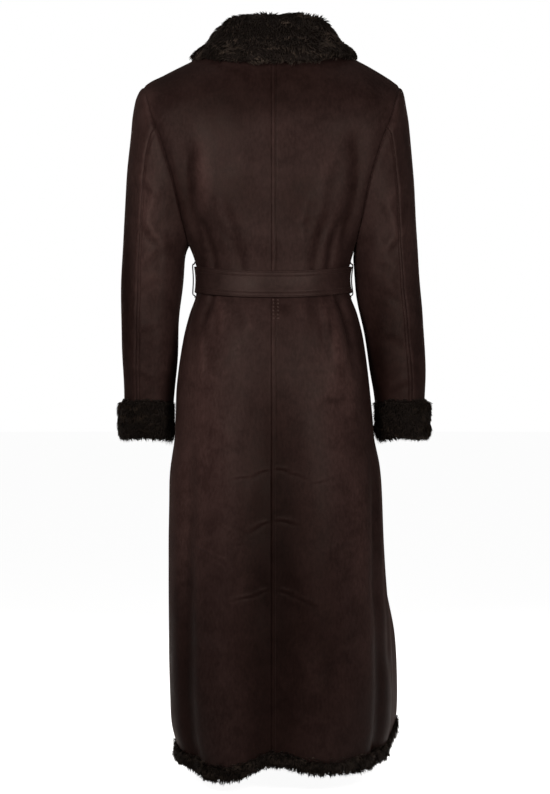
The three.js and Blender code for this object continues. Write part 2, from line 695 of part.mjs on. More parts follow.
/** A thick ring round the wrist: it stands proud of the sleeve and turns in at its lower edge. */
function cuff(name, side) {
  const profile = [
    { down: 0, out: 0.35 },
    { down: 0.03, out: 0.72 },
    { down: 0.12, out: 0.96 },
    { down: 0.5, out: 1 },
    { down: 0.82, out: 0.98 },
    { down: 0.95, out: 0.8 },
    { down: 1, out: 0.45 },
    { down: 0.96, out: 0.12 },
    { down: 0.82, out: 0 },
    { down: 0.3, out: 0 },
    { down: 0.04, out: 0.08 },
  ];
  const steps = ARM_STEPS;
  const outlines = [];
  for (let step = 0; step < steps; step += 1) {
    const turn = (step / steps) * 2 * Math.PI;
    const middle = sleeveForm(turn, SLEEVE_ROWS, side)
      .add(sleeveForm(turn + Math.PI, SLEEVE_ROWS, side))
      .divideScalar(2);
    const rim = sleeveForm(turn, SLEEVE_ROWS, side);
    const out = rim.clone().sub(middle).normalize();
    const room = mix(CUFF.proud, CUFF.inside, smooth(0.5, 0.95, -out.x * side));
    outlines.push(
      profile.map((p) => {
        const off = room - CUFF.thickness * (1 - p.out);
        const point = rim.clone().addScaledVector(out, off);
        point.z = mix(CUFF.top - 5 - SEAM_GAP, CUFF.bottom, p.down);
        point.y -= 3 * p.down;
        return point;
      })
    );
  }
  return sweep(name, FUR, outlines, { ring: true });
}

// ---------- fur collar ----------

/** A place on the neckline, with the way across it out of the panel and the way out of the cloth. */
function neckStation(place, side) {
  if (place <= COLLAR_SHOULDER) {
    const turn = (place / COLLAR_SHOULDER) * 90 * DEG;
    const x = NECK_HALF * Math.sin(turn);
    const y = NECK_DEPTH * Math.cos(turn) - SHOULDER_FORWARD * (1 - Math.cos(turn));
    return {
      at: vec(side * x, y, topEdge(x)),
      across: vec(0, 0, 1),
      out: vec(side * Math.sin(turn), Math.cos(turn), 0),
    };
  }
  const down = (place - COLLAR_SHOULDER) / (COLLAR.at(-1).place - COLLAR_SHOULDER);
  const z = mix(UNDERARM_Z, 0, armholeClimb(ARMHOLE_ROWS - down * COLLAR_FRONT_ROWS));
  const angle = side * frontEdge(z);
  const at = skin(angle, z);
  const free = skinOut(angle, z);
  if (side > 0) at.addScaledVector(free, -underlap(at));
  const ahead = skin(side * frontEdge(z - 4), z - 4).sub(skin(side * frontEdge(z + 0.01), z + 0.01));
  const across = ahead.normalize().cross(free).multiplyScalar(side).normalize();
  const turned = smooth(0, 0.34, down);
  return {
    at,
    across: vec(0, 0, 1).lerp(across, turned).normalize(),
    out: vec(side, 0, 0).lerp(free, turned).normalize(),
  };
}

function collarOutline(row) {
  const { rise, lean, reach, drop, stand, fall } = row;
  const middle = [
    { up: 1.2, out: 0, thick: stand },
    { up: rise * 0.5, out: -lean * 0.08, thick: stand },
    { up: rise * 0.86, out: lean * 0.22, thick: mix(stand, fall, 0.4) },
    { up: rise, out: lean, thick: fall },
    { up: mix(rise, drop, 0.26), out: mix(lean, reach, 0.52), thick: fall },
    { up: mix(rise, drop, 0.62), out: mix(lean, reach, 0.84), thick: fall },
    { up: drop, out: reach, thick: fall * 0.8 },
  ];
  const edges = { neck: [], face: [] };
  middle.forEach((spot, k) => {
    const before = middle[Math.max(0, k - 1)];
    const after = middle[Math.min(middle.length - 1, k + 1)];
    const run = new THREE.Vector2(after.out - before.out, after.up - before.up).normalize();
    const half = spot.thick / 2;
    edges.neck.push(new THREE.Vector2(spot.out - run.y * half, spot.up + run.x * half));
    edges.face.push(new THREE.Vector2(spot.out + run.y * half, spot.up - run.x * half));
  });
  const last = middle.at(-1);
  const before = middle.at(-2);
  const run = new THREE.Vector2(last.out - before.out, last.up - before.up).normalize();
  const tip = new THREE.Vector2(last.out, last.up).addScaledVector(run, fall * 0.35);
  return [...edges.neck, tip, ...edges.face.reverse()];
}

function collar() {
  const outlines = [];
  let flatEnd = null;
  const lastPlace = COLLAR.at(-1).place;
  const stations = NECK_COLUMNS + COLLAR_FRONT_ROWS;
  for (let station = -stations; station <= stations; station += 1) {
    const side = station < 0 ? -1 : 1;
    const past = Math.abs(station) - NECK_COLUMNS;
    const place = past <= 0
      ? COLLAR_SHOULDER * (1 + past / NECK_COLUMNS)
      : mix(COLLAR_SHOULDER, lastPlace, past / COLLAR_FRONT_ROWS);
    const row = {};
    for (const column of ['rise', 'lean', 'reach', 'drop', 'stand', 'fall']) {
      row[column] = read(COLLAR, column, place, 'place');
    }
    const { at, across, out } = neckStation(place, side);
    flatEnd = collarOutline(row);
    const sway = COLLAR_SWAY * smooth(5, 2, place);
    outlines.push(
      flatEnd.map((p) => {
        const point = at.clone().addScaledVector(across, p.y).addScaledVector(out, p.x);
        point.x -= sway * smooth(0, 24, Math.max(p.y, p.x));
        return point;
      })
    );
  }
  return sweep('collar_fur', FUR, outlines, { flatEnd });
}

// ---------- the coat ----------

const coat = new THREE.Group();
const half = Math.PI / 2;
const seamTurn = SEAM_GAP / 2 / 170; // half a seam gap, as an angle at the hem's radius
const frontHemEdge = frontEdge(HEM_Z + HEM_BAND.height);

for (const [label, side] of [['left', 1], ['right', -1]]) {
  coat.add(panel(`back_${label}`, side, false, BACK_COLUMNS, backEdge, -NAPE_DROP));
  coat.add(panel(`front_${label}`, side, true, FRONT_COLUMNS, frontEdge, 0));
  const { back, front } = SLEEVE_SEAMS;
  coat.add(sleevePiece(`sleeve_under_${label}`, side, back, front));
  coat.add(sleevePiece(`sleeve_top_${label}`, side, front - ARM_STEPS, back));
  coat.add(cuff(`cuff_fur_${label}`, side));
  coat.add(beltLoop(`belt_loop_${label}`, side));
  const hemFrom = side * (half + seamTurn);
  coat.add(hemBand(`hem_fur_front_${label}`, side > 0, hemFrom, side * frontHemEdge, FRONT_COLUMNS));
}
coat.add(hemBand('hem_fur_back', false, -half + seamTurn, half - seamTurn, 2 * BACK_COLUMNS));
coat.add(collar());
coat.add(beltRing());
coat.add(beltKnot());
coat.add(beltEnd('belt_end_left', 1, { length: 330, slant: 26, below: -1.7 }));
coat.add(beltEnd('belt_end_right', -1, { length: 290, slant: 20, below: 1.6 }));

export default coat;
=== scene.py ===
# %% [markdown]
# A long belted coat of brown faux shearling, filled out as if somebody wore it, with a fur collar,
# turned-back fur cuffs and a fur hem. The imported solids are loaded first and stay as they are. Every
# piece below is finer cloth or fur that lies on one of them and takes its place in the picture.

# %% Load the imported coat
import math

import bpy
import numpy as np
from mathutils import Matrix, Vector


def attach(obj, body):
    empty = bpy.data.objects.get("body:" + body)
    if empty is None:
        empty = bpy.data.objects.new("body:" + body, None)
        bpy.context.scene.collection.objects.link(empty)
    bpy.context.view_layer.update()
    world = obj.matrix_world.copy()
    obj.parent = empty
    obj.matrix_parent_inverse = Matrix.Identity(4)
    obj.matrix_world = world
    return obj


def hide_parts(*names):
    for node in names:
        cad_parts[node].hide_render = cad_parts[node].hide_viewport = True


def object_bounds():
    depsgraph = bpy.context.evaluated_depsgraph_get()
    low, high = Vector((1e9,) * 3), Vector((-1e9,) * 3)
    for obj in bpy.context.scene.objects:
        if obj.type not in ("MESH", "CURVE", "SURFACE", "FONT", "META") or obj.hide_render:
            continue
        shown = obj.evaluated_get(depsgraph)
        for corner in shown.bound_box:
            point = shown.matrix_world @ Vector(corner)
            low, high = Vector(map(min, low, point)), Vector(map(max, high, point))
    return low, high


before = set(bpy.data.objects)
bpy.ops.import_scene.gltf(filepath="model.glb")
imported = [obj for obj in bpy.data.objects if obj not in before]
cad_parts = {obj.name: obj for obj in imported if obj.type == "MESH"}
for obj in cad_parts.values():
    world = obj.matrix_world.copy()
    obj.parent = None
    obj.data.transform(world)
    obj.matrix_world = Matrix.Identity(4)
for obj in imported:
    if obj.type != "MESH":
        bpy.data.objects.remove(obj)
cad_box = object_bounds()
MM = 0.001
print("packed solids:", len(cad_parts), "lowest point:", round(cad_box[0].z, 3))

# %% [markdown]
# The camera stands three metres behind the coat, level with its middle, and looks at its back. A long
# lens keeps the sleeves and the skirt in nearly the same scale.

# %% The camera
CAMERA_PLACE = (-0.006, 3.0, -0.604)
CAMERA_LENS = 78.2
bpy.ops.object.camera_add(location=CAMERA_PLACE, rotation=(math.pi / 2, 0, math.pi))
camera = bpy.context.object
camera.name = "camera_behind"
camera.data.lens = CAMERA_LENS
bpy.context.scene.camera = camera

# %% [markdown]
# A nearly black cloth shows its form only through soft highlights, so the lights are large. The key
# comes from above the camera, a weaker one fills the other side, and two in front of the coat draw
# bright rims along the sleeves from behind and light the front for the other views.

# %% The floor, the sky and the lights
FLOOR_DROP = 0.02
FLOOR_GLOW = 0.95  # to the camera only, so that the floor runs into the white sky


def floor_material():
    made = bpy.data.materials.new("pale_floor")
    made.use_nodes = True
    nodes, links = made.node_tree.nodes, made.node_tree.links
    shader = nodes["Principled BSDF"]
    shader.inputs["Roughness"].default_value = 0.9
    shader.inputs["Specular IOR Level"].default_value = 0.1
    place = nodes.new("ShaderNodeTexCoord")
    cloud = nodes.new("ShaderNodeTexNoise")
    cloud.inputs["Scale"].default_value = 1.5
    ramp = nodes.new("ShaderNodeValToRGB")
    ramp.color_ramp.elements[0].color = (0.5, 0.5, 0.5, 1)
    ramp.color_ramp.elements[1].color = (0.54, 0.54, 0.54, 1)
    links.new(place.outputs["Object"], cloud.inputs["Vector"])
    links.new(cloud.outputs["Fac"], ramp.inputs["Fac"])
    links.new(ramp.outputs["Color"], shader.inputs["Base Color"])
    ray = nodes.new("ShaderNodeLightPath")
    glow = nodes.new("ShaderNodeMapRange")
    glow.inputs["To Max"].default_value = FLOOR_GLOW
    shader.inputs["Emission Color"].default_value = (1, 1, 1, 1)
    links.new(ray.outputs["Is Camera Ray"], glow.inputs["Value"])
    links.new(glow.outputs["Result"], shader.inputs["Emission Strength"])
    return made


bpy.ops.object.select_all(action="DESELECT")
bpy.ops.mesh.primitive_circle_add(
    vertices=128, radius=30, fill_type="NGON", location=(0, 0, cad_box[0].z - FLOOR_DROP)
)
floor = bpy.context.object
floor.name = "floor"
floor.data.materials.append(floor_material())

LIGHTS = (  # name, place, size across and high, power in watts, colour, seen as glints
    ("upper_key", (0.52, 1.15, -0.14), 0.3, 0.5, 8.1, (1, 0.95, 0.92), True),
    ("lower_key", (-0.52, 1.15, -0.4), 0.3, 0.5, 6.9, (1, 0.95, 0.92), True),
    ("left_rim", (1.7, -0.6, -0.1), 0.5, 1.4, 4, (1, 0.88, 0.78), False),
    ("right_rim", (-1.7, -0.6, -0.1), 0.5, 1.4, 4, (1, 0.88, 0.78), False),
    ("front_key", (-0.7, -1.5, -0.1), 0.8, 1.0, 26, (1, 0.97, 0.94), False),
    ("front_fill", (0.9, -1.5, -0.3), 0.8, 1.0, 16, (1, 0.97, 0.94), False),
    ("overhead", (0.0, 0.3, 1.4), 1.6, 1.0, 3, (1, 1, 1), True),
)
LOOKED_AT = (0.0, 0.0, -0.35)


def area_light(name, place, across, high, power, colour, glints):
    bpy.ops.object.light_add(type="AREA", location=place)
    lamp = bpy.context.object
    lamp.name = name
    lamp.data.shape = "RECTANGLE"
    lamp.data.size, lamp.data.size_y = across, high
    lamp.data.energy = power
    lamp.data.color = colour
    lamp.visible_glossy = glints
    aim = np.array(LOOKED_AT) - np.array(place)
    lamp.rotation_euler = (
        math.atan2(math.hypot(aim[0], aim[1]), -aim[2]),
        0,
        math.atan2(-aim[0], aim[1]),
    )
    return lamp


for light in LIGHTS:
    area_light(*light)

SKY_SEEN, SKY_LIGHT = 1.0, 0.045
sky = bpy.data.worlds.new("studio_sky")
bpy.context.scene.world = sky
sky.use_nodes = True
sky_nodes, sky_links = sky.node_tree.nodes, sky.node_tree.links
sky_nodes["Background"].inputs["Color"].default_value = (1, 1, 1, 1)
ray = sky_nodes.new("ShaderNodeLightPath")
strength = sky_nodes.new("ShaderNodeMapRange")
strength.inputs["To Min"].default_value = SKY_LIGHT
strength.inputs["To Max"].default_value = SKY_SEEN
sky_links.new(ray.outputs["Is Camera Ray"], strength.inputs["Value"])
sky_links.new(strength.outputs["Result"], sky_nodes["Background"].inputs["Strength"])
bpy.context.scene.view_settings.view_transform = "Standard"
print("lights:", len(LIGHTS))

# %% [markdown]
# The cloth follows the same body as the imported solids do, so its sizes are repeated here, in
# millimetres. A place on the body is an angle, measured from the centre back towards the wearer's
# left, and a height. Each table names its columns first, and is read as a smooth curve.

# %% Sizes of the coat
SIDES = (("left", 1), ("right", -1))
WALL = 3.0
SQUARENESS = 2.35
NECK_HALF, NECK_DEPTH, NAPE_DROP = 85.0, 62.0, 12.0
SHOULDER_TIP_Z, SHOULDER_ROLL, SHOULDER_FORWARD = -66.0, 90.0, 4.0
SHOULDER_SLOPE = {"left": 0.36, "right": 0.24}
SHOULDER_BEND = {"left": 0.00095, "right": 0.00183}
UNDERARM_Z, BELT_Z, HEM_Z = -339.0, -400.0, -1241.0
HEM_HEIGHT, HEM_THICKNESS = 27.0, 14.0
BELT_HEIGHT, BELT_THICKNESS, BELT_DIP, BELT_EASE = 45.0, 4.0, 14.0, 1.8
CUFF_TOP, CUFF_BOTTOM, CUFF_PROUD, CUFF_INSIDE, CUFF_THICKNESS = -601.0, -677.0, 11.0, 1.0, 15.0
SLEEVE_ROWS, SLEEVE_STEPS = 15.0, 22.0
SLEEVE_BACK_SEAM, SLEEVE_FRONT_SEAM = 4.0, 17.0
RIGHT_SWING_ARM, RIGHT_SWING_WRIST = -5.0, 15.0
COLLAR_SWAY, COLLAR_SHOULDER = 6.0, 3.0
KNOT_WIDTH, KNOT_HEIGHT, KNOT_DEPTH = 46.0, 40.0, 24.0


def table(names, *rows):
    """A short table as one array for each named column."""
    return dict(zip(names.split(), np.array(rows, float).T))


BODY = table(
    "z left right back front",
    (0, 262, 262, 90, 60),
    (-66, 262, 262, 98, 78),
    (-100, 254, 254, 103, 92),
    (-131, 243, 243, 107, 102),
    (-162, 229, 229, 109, 110),
    (-230, 200, 200, 111, 118),
    (-291, 169, 170, 108, 115),
    (-339, 143, 145, 103, 109),
    (-372, 130.5, 134.5, 97, 101),
    (-402, 127, 130, 94.5, 97.5),
    (-432, 131, 136, 98, 99),
    (-460, 141, 147, 109, 105),
    (-504, 152, 158, 122, 113),
    (-583, 163, 168, 135, 121),
    (-640, 165, 174, 139, 124),
    (-677, 167, 177, 141, 126),
    (-720, 173, 186, 143, 127),
    (-760, 175, 190, 145, 129),
    (-870, 177, 194, 148, 133),
    (-1050, 176, 201, 152, 140),
    (-1160, 172, 203, 154, 144),
    (-1210, 161, 194, 155, 146),
    (-1241, 146, 184, 155, 146),
)
ARMHOLE = table(
    "z reach", (-66, 221), (-100, 212), (-131, 203), (-162, 190), (-230, 169), (-291, 155), (-339, 143)
)
FRONT_EDGE = table(
    "z reach",
    (0, 85),
    (-60, 81),
    (-150, 64),
    (-250, 40),
    (-330, 16),
    (-375, 2),
    (-430, -22),
    (-520, -50),
    (-640, -64),
    (-900, -72),
    (-1241, -75),
)
UNDERLAP = table("z inset", (-300, 3.9), (-450, 4.2), (-900, 10), (-1241, 18))
HEM_LIFT = table(
    "at lift",
    (-180, 14),
    (-135, 12),
    (-118, 40),
    (-106, 50),
    (-97, 33),
    (-88, 17),
    (-60, 11),
    (-38, 12),
    (-16, 14),
    (0, 24),
    (14, 7),
    (32, 0),
    (50, 3),
    (68, 14),
    (92, 15),
    (130, 10),
    (180, 14),
)
FOLDS = table(
    "at lean width top bottom fade push",
    (0, 0, 9, -760, -1300, 240, -13),
    (22, 2, 13, -820, -1300, 260, 5),
    (-24, 0, 13, -800, -1300, 260, 6),
    (53, 0, 8, -820, -1300, 220, -11),
    (-68, 2, 8, -830, -1300, 200, -10),
    (-110, -3, 15, -1080, -1300, 260, 28),
    (128, 4, 9, -760, -1300, 240, -9),
    (-140, -3, 9, -700, -1300, 240, -9),
    (40, 15, 6, -205, -318, 45, -6),
    (-38, -17, 6, -180, -318, 45, -6),
    (132, -10, 7, -200, -318, 45, -5),
    (-131, 9, 7, -190, -318, 45, -5),
    (46, 1, 5, -318, -372, 40, -5),
    (24, -3, 5, -310, -372, 50, -4),
    (-31, 0, 5, -322, -372, 40, -4),
    (-45, -1, 5, -318, -372, 40, -5),
    (48, 2, 5, -430, -470, 40, -5),
    (-57, 0, 6, -430, -535, 50, -9),
    (-40, 2, 8, -500, -560, 60, 4),
    (130, 2, 6, -430, -500, 50, -6),
    (-128, -2, 6, -430, -520, 50, -6),
)
SLEEVE = table(
    "row out_x out_z in_x in_z back front forward",
    (0, 221, -66, 143, -339, 72, 66, 4),
    (1, 229, -77, 145.5, -342, 73, 68, 4),
    (2, 236, -97, 147.5, -347, 73, 69, 4),
    (3, 243, -130, 149, -355, 72, 69, 4),
    (5, 251, -206, 151, -380, 69, 68, 5),
    (7, 256, -290, 154.5, -420, 65, 65, 7),
    (9, 259.5, -380, 159.5, -468, 61, 61, 10),
    (11, 262, -468, 164.5, -520, 57, 57, 15),
    (13, 262, -548, 168.5, -568, 53, 53, 21),
    (15, 260, -606, 171.5, -606, 49, 49, 26),
)
SLEEVE_FOLDS = table(
    "row step rows steps push",
    (9.5, 6, 0.9, 3.5, -3),
    (11.6, 4, 0.8, 3, -2.5),
    (4.5, 8, 1.2, 2.2, -4),
    (8, 16, 1, 3, -3),
    (10.5, 18, 0.9, 3, -3),
)
COLLAR = table(
    "place rise lean reach drop stand fall",
    (0, 54, 17, 50, -38, 7, 13),
    (1, 51, 16, 51, -36, 7, 13),
    (2, 35, 13, 58, -21, 7, 13),
    (3, 16, 12, 57, -10, 6, 13),
    (4, 15, 13, 50, -36, 5, 12),
    (5, 16, 12, 28, -66, 4, 11),
    (6, 12, 10, 17, -76, 3.4, 10),
    (8, 9, 8, 13, -66, 3.2, 9),
    (10, 7, 7, 11, -34, 3, 7),
)

# %% [markdown]
# These helpers place a point on the body and find the way square out of it. They work on whole
# arrays at once, so a panel of many thousand points takes a moment only.


# %% Read a table, and stand on the body
def smooth(start, end, value):
    share = np.clip((value - start) / (end - start), 0, 1)
    return share * share * (3 - 2 * share)


def mix(a, b, share):
    return a + (b - a) * share


def read(tab, column, at, along="z"):
    """A column of a table at places along it, through its rows in a smooth curve."""
    spots, values = tab[along], tab[column]
    if spots[-1] < spots[0]:
        spots, at = -spots, -np.asarray(at)
    at = np.clip(at, spots[0], spots[-1])
    k = np.clip(np.searchsorted(spots, at, side="right") - 1, 0, len(spots) - 2)
    rows = np.arange(len(spots))
    low, high = np.maximum(rows - 1, 0), np.minimum(rows + 1, len(spots) - 1)
    slopes = (values[high] - values[low]) / (spots[high] - spots[low])
    span = spots[k + 1] - spots[k]
    t = (at - spots[k]) / span
    bend = t * t * (3 - 2 * t)
    pull = span * t * (1 - t) * (slopes[k] * (1 - t) - slopes[k + 1] * t)
    return mix(values[k], values[k + 1], bend) + pull


def by_side(left, right, x):
    return np.where(x < 0, right, left)


def top_edge(x):
    """Height of the neckline and the shoulder seams."""
    reach = np.abs(x)
    neck = -NAPE_DROP * (1 - (reach / NECK_HALF) ** 2)
    past = reach - NECK_HALF
    slope = by_side(SHOULDER_SLOPE["left"], SHOULDER_SLOPE["right"], x)
    bend = by_side(SHOULDER_BEND["left"], SHOULDER_BEND["right"], x)
    return np.where(reach < NECK_HALF, neck, -slope * past - bend * past * past)


def form(angle, z):
    """The smooth body at an angle and height."""
    sine, cosine = np.sin(angle), np.cos(angle)
    power = 2 / SQUARENESS
    half = by_side(read(BODY, "left", z), read(BODY, "right", z), sine)
    x = np.sign(sine) * half * np.abs(sine) ** power
    facing = np.where(cosine < 0, -1.0, 1.0)
    depth = by_side(read(BODY, "back", z), read(BODY, "front", z), cosine) * np.abs(cosine) ** power
    below = np.clip((top_edge(x) - z) / SHOULDER_ROLL, 0, 1)
    roll = (1 - (1 - below) ** 2.2) ** (1 / 2.2)
    in_neck = np.where(facing > 0, np.sqrt(np.maximum(0, 1 - (x / NECK_HALF) ** 2)), 0)
    seam = NECK_DEPTH * in_neck - SHOULDER_FORWARD * (1 - in_neck)
    return np.stack([x, mix(seam, facing * depth, roll), z + 0 * x], axis=-1)


def unit(v):
    return v / np.maximum(np.linalg.norm(v, axis=-1, keepdims=True), 1e-12)


def outward(place, a, b, step_a, step_b):
    """The way square out of a surface that two numbers place."""
    along = place(a + step_a, b) - place(a - step_a, b)
    up = place(a, b + step_b) - place(a, b - step_b)
    return unit(np.cross(up, along))


def form_out(angle, z):
    return outward(form, angle, z, 0.01, 1)


def fold_push(angle, z):
    """How far the soft folds push the cloth out."""
    push = np.zeros(np.broadcast(angle, z).shape)
    for at, lean, width, top, bottom, fade, depth in zip(*FOLDS.values()):
        down = np.clip((top - z) / (top - bottom), -0.3, 1.3)
        off = np.degrees(angle) - (at + lean * down)
        off = off - 360 * np.round(off / 360)
        reach = smooth(top + fade, top, z) * smooth(bottom - fade, bottom, z)
        push += depth * reach * np.exp(-((off / width) ** 2))
    return push


def skin(angle, z):
    """The body's outer face with its folds."""
    return form(angle, z) + form_out(angle, z) * fold_push(angle, z)[..., None]


def skin_out(angle, z):
    top = top_edge(form(angle, z)[..., 0])
    below = lambda a, b: skin(a, np.minimum(b, top))
    return outward(below, angle, np.minimum(z, top - 0.6), 0.01, 0.6)


def angle_at(x, z, front):
    """The angle of a place beside the centre back, or beside the centre front."""
    half = by_side(read(BODY, "left", z), read(BODY, "right", z), x)
    turn = np.arcsin(np.clip(np.abs(x) / half, 0, 1) ** (SQUARENESS / 2))
    return np.where(x < 0, -1.0, 1.0) * (math.pi - turn if front else turn)


def front_edge(z):
    reach = read(FRONT_EDGE, "reach", z)
    angle = angle_at(reach, z, True)
    return np.where(reach >= 0, angle, 2 * math.pi + angle)


def underlap(points):
    """How far the left front is tucked under the right one."""
    lapped = smooth(120, 86, points[..., 0]) * (points[..., 1] < 0)
    z = points[..., 2]
    return lapped * smooth(-230, -330, z) * read(UNDERLAP, "inset", z)


def hem_lift(angle):
    turned = np.degrees(angle) - 360 * np.round(np.degrees(angle) / 360)
    return read(HEM_LIFT, "lift", turned, "at")


print("body at the waist, across:", form(np.array([math.pi / 2]), np.array([BELT_Z]))[0, 0] * 2, "mm")

# %% [markdown]
# Suede is a short nap. Its colour drifts in soft patches where the nap lies differently, and a fine
# grain breaks up the light. Both come from noise on Object coordinates, which runs on over the seams
# as one dye lot does. The noise is a node group, because the belt and the panels use it differently:
# the panels and sleeves also feed it painted light and painted shade, which scale and tint its colour.


# %% Node groups for nap and pile
def new_group(name, inputs, outputs):
    made = bpy.data.node_groups.new(name, "ShaderNodeTree")
    for direction, sockets in (("INPUT", inputs), ("OUTPUT", outputs)):
        for label, kind in sockets:
            made.interface.new_socket(name=label, in_out=direction, socket_type=f"NodeSocket{kind}")
    return made, made.nodes.new("NodeGroupInput"), made.nodes.new("NodeGroupOutput")


def noise(tree, vector, scale, detail, distortion=0.0):
    made = tree.nodes.new("ShaderNodeTexNoise")
    made.inputs["Scale"].default_value = scale
    made.inputs["Detail"].default_value = detail
    made.inputs["Distortion"].default_value = distortion
    tree.links.new(vector, made.inputs["Vector"])
    return made.outputs["Fac"]


def between(tree, value, low, high, to_low=0.0, to_high=1.0):
    made = tree.nodes.new("ShaderNodeMapRange")
    made.inputs["From Min"].default_value = low
    made.inputs["From Max"].default_value = high
    made.inputs["To Min"].default_value = to_low
    made.inputs["To Max"].default_value = to_high
    tree.links.new(value, made.inputs["Value"])
    return made.outputs["Result"]


def math_node(tree, operation, a, b):
    made = tree.nodes.new("ShaderNodeMath")
    made.operation = operation
    for socket, value in zip(made.inputs, (a, b)):
        if isinstance(value, (int, float)):
            socket.default_value = value
        else:
            tree.links.new(value, socket)
    return made.outputs[0]


def mix_colours(tree, factor, a, b, blend="MIX"):
    made = tree.nodes.new("ShaderNodeMix")
    made.data_type, made.blend_type = "RGBA", blend
    colour_inputs = [s for s in made.inputs if s.type == "RGBA"]
    for socket, value in zip((made.inputs[0], *colour_inputs), (factor, a, b)):
        if isinstance(value, (int, float, tuple)):
            socket.default_value = value
        else:
            tree.links.new(value, socket)
    return next(s for s in made.outputs if s.type == "RGBA")


def stretched(tree, vector, scale):
    made = tree.nodes.new("ShaderNodeMapping")
    made.inputs["Scale"].default_value = scale
    tree.links.new(vector, made.inputs["Vector"])
    return made.outputs["Vector"]


PAINTED_SHADE_TINT = (1.1, 0.92, 0.86, 1)  # painted shade is also tinted redder
PAINTED_LIGHT_RANGE = (0.2, 1.8)  # how much the painted shade darkens and the painted light lightens the suede

nap, nap_in, nap_out = new_group(
    "brushed_nap_and_painted_light",
    (("Place", "Vector"), ("Light", "Color"), ("Middle", "Color"), ("Dark", "Color"), ("Painted Light", "Float")),
    (("Color", "Color"), ("Roughness", "Float"), ("Height", "Float")),
)
nap_place = nap_in.outputs["Place"]
drift = noise(nap, nap_place, 9, 4.0, 0.4)
blotch = noise(nap, nap_place, 30, 5.0, 0.6)
stroke = noise(nap, stretched(nap, nap_place, (1, 1, 0.5)), 240, 3.0, 0.3)
grain = noise(nap, nap_place, 1150, 2.0)
patches = between(nap, math_node(nap, "ADD", drift, math_node(nap, "MULTIPLY", blotch, 0.35)), 0.42, 0.95)
tone = mix_colours(nap, patches, nap_in.outputs["Dark"], nap_in.outputs["Middle"])
brushed = between(nap, math_node(nap, "ADD", stroke, math_node(nap, "MULTIPLY", blotch, 0.9)), 0.75, 1.3)
tone = mix_colours(nap, brushed, tone, nap_in.outputs["Light"])
speckle = between(nap, grain, 0.3, 0.7, 0.84, 1.16)
# Painted light and shade: the colour is scaled by the value stored on the panels and sleeves.
speckle = math_node(nap, "MULTIPLY", speckle, between(nap, nap_in.outputs["Painted Light"], 0, 1, *PAINTED_LIGHT_RANGE))
speckled = nap.nodes.new("ShaderNodeVectorMath")
speckled.operation = "SCALE"
nap.links.new(tone, speckled.inputs[0])
nap.links.new(speckle, speckled.inputs["Scale"])
# Where the painted shade is deep, the colour is also tinted redder.
painted_shade_share = between(nap, nap_in.outputs["Painted Light"], 0.48, 0.12)
tinted = mix_colours(nap, painted_shade_share, speckled.outputs[0], PAINTED_SHADE_TINT, "MULTIPLY")
nap.links.new(tinted, nap_out.inputs["Color"])
nap.links.new(between(nap, blotch, 0.3, 0.7, 0.42, 0.55), nap_out.inputs["Roughness"])
relief = math_node(nap, "ADD", grain, math_node(nap, "MULTIPLY", stroke, 1.1))
relief = math_node(nap, "ADD", relief, math_node(nap, "MULTIPLY", blotch, 2.2))
nap.links.new(relief, nap_out.inputs["Height"])

# %% [markdown]
# Each tuft of fur carries two numbers in its UV map: how bright the tuft is, and how far along it a
# point lies. On the cuffs and the collar that brightness also carries painted light and shade. The root
# stays nearly black, and the tip takes the light. Patches where the pile parts are lighter, and a few
# places are golden brown.

# %% The shading of the pile
pile, pile_in, pile_out = new_group(
    "pile_shade",
    (("Place", "Vector"), ("Strand", "Vector"), ("Root", "Color"), ("Body", "Color"), ("Tip", "Color"),
     ("Gold", "Color")),
    (("Color", "Color"), ("Roughness", "Float")),
)
strand = pile.nodes.new("ShaderNodeSeparateXYZ")
pile.links.new(pile_in.outputs["Strand"], strand.inputs["Vector"])
brightness, along_tuft = strand.outputs["X"], strand.outputs["Y"]
clumps = stretched(pile, pile_in.outputs["Place"], (1, 1, 2.2))
parting = between(pile, noise(pile, clumps, 26, 1.5, 1.0), 0.44, 0.6)
lit = between(pile, brightness, 0.42, 0.95)
lit = math_node(pile, "MULTIPLY", lit, between(pile, parting, 0, 1, 0.1, 1.3))
rising = between(pile, along_tuft, 0.0, 0.75)
shade = mix_colours(pile, rising, pile_in.outputs["Root"], pile_in.outputs["Body"])
tip_share = math_node(pile, "MULTIPLY", between(pile, along_tuft, 0.1, 1.0), lit)
shade = mix_colours(pile, tip_share, shade, pile_in.outputs["Tip"])
glint = between(pile, noise(pile, pile_in.outputs["Place"], 260, 1.0), 0.64, 0.72, 0.0, 0.5)
gold_share = math_node(pile, "MULTIPLY", glint, between(pile, along_tuft, 0.3, 1.0))
shade = mix_colours(pile, gold_share, shade, pile_in.outputs["Gold"])
pile.links.new(shade, pile_out.inputs["Color"])
pile.links.new(between(pile, brightness, 0.0, 1.0, 0.62, 0.45), pile_out.inputs["Roughness"])

# %% [markdown]
# The finishes: suede for the panels, the same suede pressed flatter for the belt, sewing thread, the
# dark backing under the pile, and the pile. What is the same all over a surface, such as the sheen of
# the nap, is set on the shader itself.

# %% The materials


def plain_shader(name, sheen, sheen_roughness, sheen_tint, specular):
    made = bpy.data.materials.new(name)
    made.use_nodes = True
    shader = made.node_tree.nodes["Principled BSDF"]
    shader.inputs["Sheen Weight"].default_value = sheen
    shader.inputs["Sheen Roughness"].default_value = sheen_roughness
    shader.inputs["Sheen Tint"].default_value = (*sheen_tint, 1)
    shader.inputs["Specular IOR Level"].default_value = specular
    shader.inputs["Specular Tint"].default_value = (1, 0.8, 0.7, 1)
    return made, made.node_tree, shader


def placed(tree, shared):
    """A shared group in a material, reading Object coordinates."""
    group = tree.nodes.new("ShaderNodeGroup")
    group.node_tree = shared
    place = tree.nodes.new("ShaderNodeTexCoord")
    tree.links.new(place.outputs["Object"], group.inputs["Place"])
    return group


